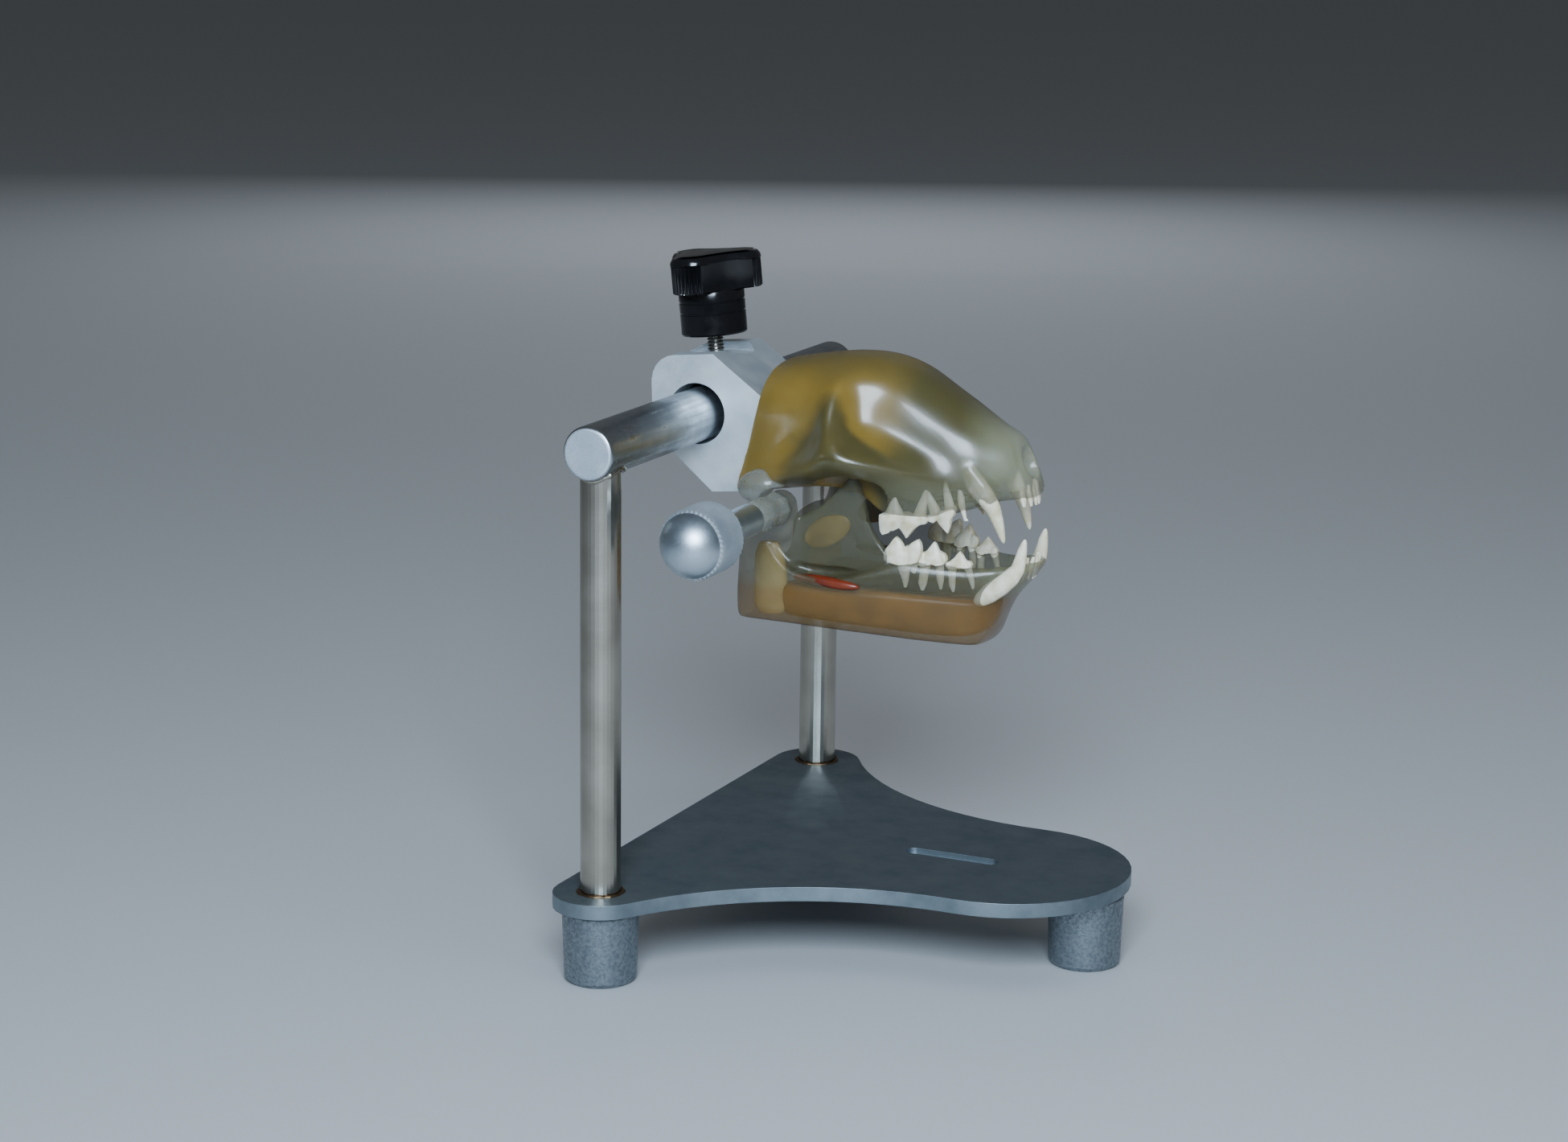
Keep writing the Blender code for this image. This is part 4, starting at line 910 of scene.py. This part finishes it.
lowerShape = {"voxel": 0.48, "cage": [
    (13.4, [(0, 84.4), (15.8, 84.4), (18.0, 84.9), (18.4, 92.0), (16.9, 101.0), (16.3, 102.8), (15.9, 103.2),
            (15.5, 103.2), (15.1, 103.0), (14.7, 102.2), (14.1, 98.6), (13.1, 94.4), (0, 94.0)]),
    (14.2, [(0, 84.2), (16.6, 84.2), (19.0, 84.6), (19.4, 92.0), (17.7, 101.4), (17.0, 103.4), (16.4, 104.2),
            (15.8, 104.2), (15.2, 103.8), (14.7, 102.6), (14.1, 98.6), (13.1, 94.4), (0, 94.0)]),
    (17.4, [(0, 84.1), (16.8, 84.1), (19.2, 84.6), (19.8, 92.0), (19.6, 101.8), (19.1, 105.0), (18.2, 106.6),
            (17.4, 107.0), (16.2, 106.6), (15.4, 105.2), (14.4, 99.0), (13.2, 94.4), (0, 94.0)]),
    (21.5, [(0, 84.0), (16.4, 84.0), (18.7, 84.5), (19.9, 92.0), (20.3, 101.6), (19.9, 104.6), (19.0, 107.0),
            (18.2, 108.2), (16.8, 108.0), (15.8, 106.0), (14.8, 99.0), (13.4, 94.2), (0, 93.8)]),
    (25.5, [(0, 83.8), (15.8, 83.8), (18.1, 84.3), (19.8, 91.5), (21.0, 97.8), (20.6, 100.8), (17.2, 99.8),
            (17.2, 104.6), (16.4, 106.6), (15.2, 105.4), (14.2, 99.0), (13.4, 94.0), (0, 93.6)]),
    (29.0, [(0, 83.6), (15.2, 83.6), (17.5, 84.1), (19.5, 90.5), (21.0, 95.8), (20.6, 98.9), (16.4, 95.8),
            (16.2, 101.2), (16.2, 104.2), (14.9, 103.4), (14.0, 98.6), (13.2, 93.8), (0, 93.4)]),
    (34.0, [(0, 83.3), (14.6, 83.3), (16.7, 83.8), (18.8, 89.8), (20.6, 94.8), (20.2, 97.9), (15.4, 94.6),
            (15.0, 100.2), (15.4, 103.4), (14.1, 103.0), (13.2, 98.0), (12.6, 93.4), (0, 93.0)]),
    (40.0, [(0, 83.0), (13.8, 83.0), (15.9, 83.5), (18.1, 89.6), (19.8, 95.0), (19.4, 98.0), (14.8, 95.0),
            (14.7, 100.2), (15.1, 103.2), (13.8, 102.9), (12.6, 98.0), (11.8, 93.2), (0, 92.8)]),
    (46.0, [(0, 82.7), (13.0, 82.7), (14.9, 83.2), (17.1, 89.6), (18.3, 96.3), (17.9, 99.2), (15.2, 98.0),
            (15.1, 101.2), (14.9, 103.6), (13.4, 103.4), (12.4, 98.0), (11.0, 93.0), (0, 92.6)]),
    (51.0, [(0, 82.4), (12.1, 82.4), (13.9, 82.9), (16.0, 89.6), (16.9, 97.2), (16.5, 100.0), (15.8, 101.4),
            (15.0, 102.4), (14.2, 102.9), (12.9, 102.7), (11.7, 98.0), (10.4, 92.6), (0, 92.2)]),
    (57.0, [(0, 82.0), (11.0, 82.0), (12.6, 82.5), (14.6, 89.4), (15.5, 96.8), (15.2, 99.6), (14.6, 101.0),
            (13.8, 101.8), (12.8, 102.0), (11.5, 101.6), (10.2, 97.5), (8.9, 92.2), (0, 91.8)]),
    (63.0, [(0, 81.7), (9.6, 81.7), (11.2, 82.2), (12.9, 89.2), (13.7, 96.4), (13.4, 99.0), (12.9, 100.4),
            (12.1, 101.2), (11.2, 101.4), (10.0, 101.0), (8.5, 97.2), (7.2, 92.0), (0, 91.6)]),
    (68.5, [(0, 81.4), (8.0, 81.4), (9.5, 82.0), (11.0, 89.0), (11.9, 95.8), (11.7, 98.6), (11.2, 100.0),
            (10.4, 100.8), (9.5, 101.0), (8.3, 100.6), (6.6, 97.0), (5.2, 92.4), (0, 92.0)]),
    (71.4, [(0, 81.1), (6.4, 81.1), (8.8, 82.2), (10.2, 89.2), (11.1, 95.6), (11.0, 98.5), (10.6, 99.9),
            (9.8, 100.7), (8.8, 101.0), (7.6, 100.6), (5.9, 97.2), (4.5, 93.4), (0, 93.0)]),
    (73.4, [(0, 82.2), (4.6, 82.6), (7.0, 85.4), (8.8, 90.8), (10.0, 95.6), (10.2, 98.4), (9.9, 99.9),
            (9.4, 100.7), (8.4, 101.0), (7.2, 100.6), (5.4, 97.4), (4.0, 94.0), (0, 93.6)]),
    (75.5, [(0, 88.4), (3.4, 88.8), (5.4, 90.4), (7.2, 93.6), (8.6, 96.6), (9.2, 98.8), (9.0, 100.0),
            (8.4, 100.9), (7.4, 101.3), (6.0, 101.0), (4.4, 98.9), (2.8, 96.9), (0, 96.5)]),
    (78.5, [(0, 93.6), (3.0, 94.0), (5.0, 95.0), (6.8, 96.9), (8.0, 98.6), (8.6, 99.8), (8.4, 100.7),
            (7.8, 101.4), (6.8, 101.8), (5.2, 101.6), (3.6, 100.4), (2.0, 99.4), (0, 99.2)]),
    (81.8, [(0, 97.0), (2.8, 97.2), (4.4, 97.9), (5.8, 98.9), (6.8, 99.8), (7.2, 100.5), (7.1, 101.2),
            (6.6, 101.8), (5.7, 102.1), (4.3, 102.1), (2.8, 101.6), (1.5, 101.1), (0, 100.9)]),
    (83.6, [(0, 99.6), (2.0, 99.7), (3.3, 100.1), (4.3, 100.6), (5.0, 101.0), (5.2, 101.4), (5.1, 101.8),
            (4.7, 102.1), (4.0, 102.3), (2.9, 102.4), (1.9, 102.3), (1.0, 102.1), (0, 102.0)]),
    (84.6, [(0, 101.2), (1.0, 101.2), (1.9, 101.3), (2.6, 101.4), (3.0, 101.6), (3.1, 101.8), (3.0, 101.9),
            (2.7, 102.0), (2.2, 102.1), (1.6, 102.2), (1.0, 102.2), (0.6, 102.2), (0, 102.2)])],
    "blade": [(24.0, 99.5), (50.0, 98.5), (51.6, 103.0), (48.4, 107.0), (46.0, 111.0), (45.2, 116.0),
              (43.8, 120.4), (42.2, 121.4), (40.6, 119.8), (37.8, 116.2), (34.4, 113.4), (31.0, 111.0),
              (28.6, 110.2), (25.6, 110.0), (21.6, 109.0), (20.0, 104.0)],
    "bladeThick": 2.4, "barrel": [(17.0, 3.9), (24.0, 3.9)],
    "neck": ((25.0, 18.6, 108.6), (4.0, 2.6, 4.4)), "scoop": ((38.5, 24.2, 107.0), (11.0, 6.6, 7.6), 4, 48)}


pieces = []
for side in (1, -1):            # the blades come closer together towards the front
    pieces.append(sheet("blade", lowerShape["blade"], lowerShape["bladeThick"],
                        lambda x: side * (16.5 + (30.0 - x) * 0.1)))
    pieces.append(hingeRod("barrel", side, lowerShape["barrel"]))
    centre, halfSizes = lowerShape["neck"]
    pieces.append(lump("neck", onSide(side, centre), halfSizes))
lower = melt("lowerResin", pieces + [cageBody("lowerCage", lowerShape["cage"], 2)], lowerShape["voxel"], 3)
centre, *rest = lowerShape["scoop"]
carve(lower, [lump("cheekScoop", onSide(side, centre), *rest) for side in (1, -1)])
lower = melt("lowerResin", [lower], lowerShape["voxel"], 2)
smoothAll(lower)
settle(lower, "jaw", lowerResin, "clear_resin", "lower_jaw")

# The hinge's clear boss, a faceted casting round the pin on each side
for side, name in bothSides:
    boss = hingeRod("hingeBoss" + name, side, [(20.5, 3.9), (23.0, 4.35), (27.0, 3.9), (31.0, 4.35),
                                               (34.4, 3.9), (35.6, 3.0)], 8)
    applyStep(boss, "BEVEL", width=0.35 * millimetre, segments=2, limit_method="ANGLE",
              angle_limit=math.radians(10))
    smoothAll(boss, 20)
    settle(boss, "jaw", clearResin, "clear_resin")

jawCore = cageBody("jawCore", [
    (23.6, [(0, 85.1), (11.4, 85.1), (16.2, 85.7), (17.2, 90.0), (17.2, 93.4), (11.4, 93.2), (0, 92.8)]),
    (26.0, [(0, 84.9), (11.4, 84.9), (16.2, 85.5), (17.6, 90.0), (18.0, 95.0), (11.6, 93.4), (0, 92.9)]),
    (34.0, [(0, 84.5), (10.8, 84.5), (15.4, 84.9), (17.2, 89.6), (17.8, 94.6), (11.0, 93.2), (0, 92.4)]),
    (42.0, [(0, 84.1), (10.2, 84.1), (14.2, 84.5), (16.2, 89.6), (17.0, 95.0), (10.4, 93.0), (0, 92.0)]),
    (52.0, [(0, 83.5), (9.0, 83.5), (12.4, 83.9), (14.2, 89.2), (14.9, 94.6), (9.0, 92.6), (0, 91.4)]),
    (62.0, [(0, 82.9), (7.2, 82.9), (10.0, 83.4), (11.7, 89.0), (12.2, 94.2), (6.8, 92.0), (0, 90.8)]),
    (69.0, [(0, 82.7), (5.4, 82.7), (7.8, 83.5), (9.4, 89.0), (10.0, 93.4), (5.0, 92.0), (0, 90.8)]),
    (73.6, [(0, 85.1), (3.4, 85.3), (5.4, 86.3), (7.2, 90.4), (8.0, 92.8), (3.8, 92.4), (0, 91.6)])], 2)
jawCore = melt("jawCore", [jawCore], 0.6, 2)
smoothAll(jawCore)
settle(jawCore, "jaw", rustCore, "clear_resin")

# Cast into each side: a beige heel, a red lens by the ledge and an ochre oval in the blade. The lens
# and the oval are given by centre, half sizes, tilt and material.
insets = {
    "heelCore": {"stations": [(21.6, 15.2, 86.4, 3.4), (21.6, 15.5, 88.0, 4.3), (21.8, 16.0, 95.0, 4.3),
                              (21.6, 16.6, 100.5, 3.8), (21.4, 16.8, 103.6, 2.4)],
                 "flatten": (1, 0.6, 1), "sides": 24, "voxel": 0.5, "smoothing": 3},
    "ledgeLens": ((37.2, 18.6, 95.8), (8.6, 1.5, 1.4), 3, redCore),
    "bladeOval": ((36.2, 15.9, 107.4), (6.4, 0.9, 3.4), -28, ochreCore)}
for side, name in bothSides:
    heelShape = insets["heelCore"]
    heel = strand("heelCore" + name, [onSide(side, station) for station in heelShape["stations"]],
                  heelShape["flatten"], heelShape["sides"])
    heel = melt(heel.name, [heel], heelShape["voxel"], heelShape["smoothing"])
    smoothAll(heel)
    settle(heel, "jaw", beigeCore, "clear_resin")
    for kind in ("ledgeLens", "bladeOval"):
        centre, halfSizes, tilt, core = insets[kind]
        inset = lump(kind + name, onSide(side, centre), halfSizes, tilt)
        smoothAll(inset)
        settle(inset, "jaw", core, "clear_resin")
print("lower jaw ready")


# The teeth
# Each tooth is made for the left side and repeated on the right. Its crown is rounded pegs of x, y, z and
# radius, trimmed to the outline of x and z that the eye sees from the side; its roots are more pegs.

teeth = {
    "upperCanine": {"body": "skull", "voxel": 0.2,
        "roots": [
            ([(67.9, 9.6, 126.6, 0.8), (68.2, 9.6, 125.8, 1.5), (69.4, 9.6, 123.2, 2.2),
              (71.2, 9.5, 120.6, 2.5), (73.4, 9.3, 118.0, 2.35), (75.2, 9.1, 115.5, 1.9),
              (76.4, 8.9, 112.4, 1.45), (77.2, 8.7, 109.8, 1.0), (77.75, 8.6, 107.9, 0.55),
              (77.9, 8.55, 107.3, 0.2)], (1, 0.85, 1))]},
    "upperCarnassial": {"body": "skull", "voxel": 0.15,
        "outline": [
            (49.7, 113.0), (49.5, 110.6), (49.6, 108.9), (50.3, 108.0), (51.7, 108.5), (53.2, 109.3),
            (54.3, 110.0), (55.2, 108.8), (56.0, 107.5), (56.8, 108.6), (57.8, 109.9), (59.0, 110.9),
            (60.3, 111.2), (60.9, 112.2), (60.4, 113.0), (55.0, 113.3)],
        "crown": [
            ([(51.2, 15.4, 114.0, 2.2), (51.0, 15.4, 111.6, 2.0), (50.6, 15.4, 109.4, 1.3),
              (50.3, 15.4, 107.6, 0.8)], (1.2, 0.9, 1)),
            ([(56.2, 14.4, 114.0, 3.2), (56.2, 14.5, 111.6, 3.0), (56.1, 14.6, 109.4, 2.0),
              (56.0, 14.6, 107.2, 0.9)], (1.2, 0.62, 1)),
            ([(53.2, 14.9, 114.0, 2.9), (53.2, 14.9, 111.6, 2.5),
              (53.2, 14.9, 109.0, 1.2)], (1.4, 0.6, 1)),
            ([(59.6, 13.6, 114.0, 2.0), (59.8, 13.5, 112.2, 1.6),
              (60.2, 13.5, 110.8, 0.9)], (1.2, 0.75, 1)),
            ([(54.8, 13.0, 113.6, 1.6), (54.8, 13.0, 112.4, 1.3), (54.8, 13.0, 111.6, 0.6)], (1, 1, 1))],
        "roots": [
            ([(52.7, 14.6, 116.9, 0.4), (52.6, 14.6, 115.6, 1.1), (52.7, 14.7, 113.8, 2.1),
              (52.7, 14.7, 112.4, 2.5)], (1, 0.6, 1)),
            ([(59.9, 12.9, 119.1, 0.45), (59.5, 13.1, 117.0, 0.9), (58.9, 13.4, 114.4, 1.35),
              (58.6, 13.5, 112.6, 1.7)], (1, 0.7, 1))]},
    "upperThird": {"body": "skull", "voxel": 0.15,
        "outline": [
            (60.1, 113.0), (60.3, 111.9), (61.3, 111.5), (62.4, 111.3), (63.4, 110.7), (64.3, 109.9),
            (65.1, 109.0), (65.7, 110.6), (66.0, 112.6), (66.6, 113.4), (67.0, 114.8), (66.5, 115.6),
            (63.6, 114.4)],
        "crown": [
            ([(63.9, 12.0, 116.0, 3.0), (64.2, 11.9, 113.6, 2.6), (64.6, 11.8, 111.4, 1.6),
              (65.0, 11.7, 108.8, 0.8)], (1.2, 0.6, 1)),
            ([(61.3, 12.6, 115.0, 1.9), (61.2, 12.6, 113.0, 1.5),
              (61.0, 12.6, 111.4, 0.8)], (1.2, 0.75, 1)),
            ([(66.2, 11.3, 116.5, 1.3), (66.5, 11.3, 114.6, 1.0),
              (66.7, 11.3, 113.2, 0.5)], (1.2, 0.8, 1))],
        "roots": [
            ([(60.0, 12.6, 118.9, 0.4), (60.7, 12.5, 117.0, 0.9), (61.8, 12.4, 114.6, 1.35),
              (62.2, 12.4, 113.4, 1.5)], (1, 0.8, 1)),
            ([(64.0, 11.4, 121.0, 0.5), (64.5, 11.4, 118.4, 0.95), (65.3, 11.5, 115.4, 1.25),
              (65.3, 11.5, 114.0, 1.3)], (1, 0.8, 1))]},
    "upperSecond": {"body": "skull", "voxel": 0.12,
        "roots": [
            ([(67.3, 10.6, 119.4, 0.5), (67.7, 10.5, 117.4, 0.9), (67.9, 10.5, 115.8, 0.85),
              (68.5, 10.5, 113.8, 0.55), (69.0, 10.5, 112.1, 0.35)], (1, 0.9, 1)),
            ([(69.0, 10.5, 112.5, 0.35), (69.6, 10.5, 112.3, 0.25)], (1, 1, 1))]},
    "lowerCanine": {"body": "jaw", "voxel": 0.2,
        "roots": [
            ([(71.1, 8.2, 92.2, 0.9), (72.1, 8.2, 92.9, 1.7), (74.4, 8.2, 94.8, 2.3),
              (77.3, 8.0, 97.1, 2.4), (79.7, 7.7, 99.3, 2.15), (81.1, 7.4, 101.2, 1.75),
              (81.6, 7.2, 103.4, 1.5), (82.0, 7.0, 105.8, 1.15), (82.4, 6.9, 107.6, 0.7),
              (82.5, 6.85, 108.4, 0.3)], (1, 0.85, 1))]},
    "lowerMolar": {"body": "jaw", "voxel": 0.15,
        "outline": [
            (50.0, 102.4), (50.4, 101.6), (51.5, 101.4), (54.2, 100.9), (57.0, 101.2), (58.4, 101.8),
            (59.0, 103.2), (59.1, 105.2), (58.9, 106.3), (58.2, 107.2), (57.2, 106.6), (56.4, 106.0),
            (55.7, 105.2), (54.9, 106.0), (53.9, 106.9), (53.0, 107.5), (52.3, 106.7), (51.6, 105.6),
            (50.6, 104.4), (50.2, 103.6)],
        "crown": [
            ([(53.0, 13.8, 100.4, 2.8), (52.9, 13.8, 103.4, 2.9), (52.9, 13.9, 105.4, 2.0),
              (53.0, 13.9, 107.8, 0.8)], (1.15, 0.62, 1)),
            ([(57.0, 12.9, 100.4, 2.6), (57.1, 12.9, 103.4, 2.6), (57.7, 12.9, 105.6, 1.8),
              (58.2, 12.8, 107.6, 0.8)], (1.15, 0.66, 1))],
        "roots": [
            ([(55.2, 13.1, 95.3, 0.35), (55.2, 13.1, 97.0, 0.85), (54.9, 13.3, 99.6, 1.5),
              (54.8, 13.3, 101.6, 1.9)], (1, 0.75, 1)),
            ([(57.2, 12.8, 98.8, 0.45), (57.3, 12.8, 101.6, 1.1)], (1, 0.8, 1))]},
    "lowerFourth": {"body": "jaw", "voxel": 0.15,
        "outline": [
            (61.5, 106.6), (60.8, 105.6), (60.1, 104.6), (59.4, 104.0), (58.6, 103.9), (58.2, 103.2),
            (57.6, 102.8), (57.4, 102.1), (57.8, 101.0), (59.2, 100.6), (60.4, 100.8), (61.4, 101.4),
            (62.4, 101.1), (63.9, 101.2), (64.5, 102.2), (64.5, 103.1), (63.9, 103.9), (63.2, 104.1),
            (62.6, 105.2), (62.1, 106.2)],
        "crown": [
            ([(61.0, 11.2, 100.0, 3.0), (61.1, 11.2, 102.6, 2.7), (61.4, 11.2, 104.8, 1.5),
              (61.6, 11.1, 107.0, 0.7)], (1.15, 0.6, 1)),
            ([(58.7, 11.8, 100.4, 1.8), (58.6, 11.8, 102.6, 1.4),
              (58.6, 11.8, 104.2, 0.8)], (1.15, 0.75, 1)),
            ([(63.4, 10.6, 100.6, 1.7), (63.5, 10.5, 102.8, 1.3),
              (63.5, 10.5, 104.4, 0.8)], (1.15, 0.75, 1))],
        "roots": [
            ([(58.9, 11.5, 94.6, 0.4), (58.9, 11.5, 96.4, 1.15), (59.3, 11.4, 99.4, 1.15),
              (59.6, 11.4, 101.2, 1.4)], (1, 0.75, 1)),
            ([(63.1, 10.4, 95.1, 0.35), (63.0, 10.4, 97.2, 0.85), (62.8, 10.5, 100.0, 1.05),
              (62.6, 10.6, 101.6, 1.3)], (1, 0.75, 1))]},
    "lowerThird": {"body": "jaw", "voxel": 0.15,
        "outline": [
            (67.2, 104.5), (66.6, 103.7), (65.9, 102.8), (65.0, 102.0), (64.1, 101.5), (64.0, 100.8),
            (64.8, 100.2), (66.1, 100.0), (67.2, 100.5), (68.4, 100.6), (69.8, 100.6), (70.2, 101.3),
            (69.8, 102.0), (69.0, 102.4), (68.3, 103.4)],
        "crown": [
            ([(67.0, 9.1, 99.4, 2.9), (67.0, 9.1, 101.6, 2.3), (67.1, 9.1, 103.2, 1.2),
              (67.2, 9.0, 105.0, 0.6)], (1.2, 0.6, 1)),
            ([(65.0, 9.6, 99.8, 1.4), (64.6, 9.6, 101.8, 0.9)], (1.2, 0.8, 1)),
            ([(69.2, 8.5, 100.2, 1.4), (69.5, 8.5, 102.2, 0.9)], (1.2, 0.8, 1))],
        "roots": [
            ([(65.8, 9.2, 94.5, 0.35), (65.5, 9.2, 96.2, 0.85), (65.4, 9.3, 99.4, 1.0),
              (65.7, 9.2, 101.0, 1.3)], (1, 0.75, 1)),
            ([(70.4, 8.3, 95.5, 0.3), (70.1, 8.3, 97.2, 0.7), (69.4, 8.5, 99.8, 0.9),
              (68.8, 8.6, 101.2, 1.2)], (1, 0.75, 1))]}}

for name, tooth in teeth.items():
    pegs = [strand("root", stations, flatten, 12) for stations, flatten in tooth["roots"]]
    if "crown" in tooth:
        cusps = [strand("cusp", stations, flatten, 12) for stations, flatten in tooth["crown"]]
        crown = melt("crown", cusps, tooth["voxel"], 1)
        carve(crown, [sheet("trim", tooth["outline"], 12.0, lambda x: 12.0)], "INTERSECT")
        pegs.append(crown)
    left = melt(name + "Left", pegs, tooth["voxel"], 2)
    smoothAll(left)
    right = mirrored(left, name + "Right")
    settle(left, tooth["body"], toothResin)
    settle(right, tooth["body"], toothResin)

incisorRows = {
    "upper": {"body": "skull", "front": 82.6, "root": 120.6, "gum": 118.6, "tip": 115.5, "pitch": 1.75,
              "lean": 0.5},
    "lower": {"body": "jaw", "front": 83.2, "root": 97.8, "gum": 99.8, "tip": 103.4, "pitch": 1.5,
              "lean": 0.7}}
for name, row in incisorRows.items():
    for i in range(3):
        y = row["pitch"] * (i + 0.5)
        x = row["front"] - 0.16 * y * y / row["pitch"]
        size = 0.6 + 0.16 * i
        left = strand(name + "Incisor" + str(i) + "Left", [
            (x - 1.2 * row["lean"], y, row["root"], size * 0.5), (x - 0.4, y, row["gum"], size),
            (x, y, (row["gum"] + row["tip"]) / 2, size * 1.05),
            (x + row["lean"] * 0.6, y, row["tip"], size * 0.55)], (0.8, 1, 1), 12)
        left = melt(left.name, [left], 0.12, 2)
        smoothAll(left)
        right = mirrored(left, name + "Incisor" + str(i) + "Right")
        settle(left, row["body"], toothResin)
        settle(right, row["body"], toothResin)
print("teeth ready")
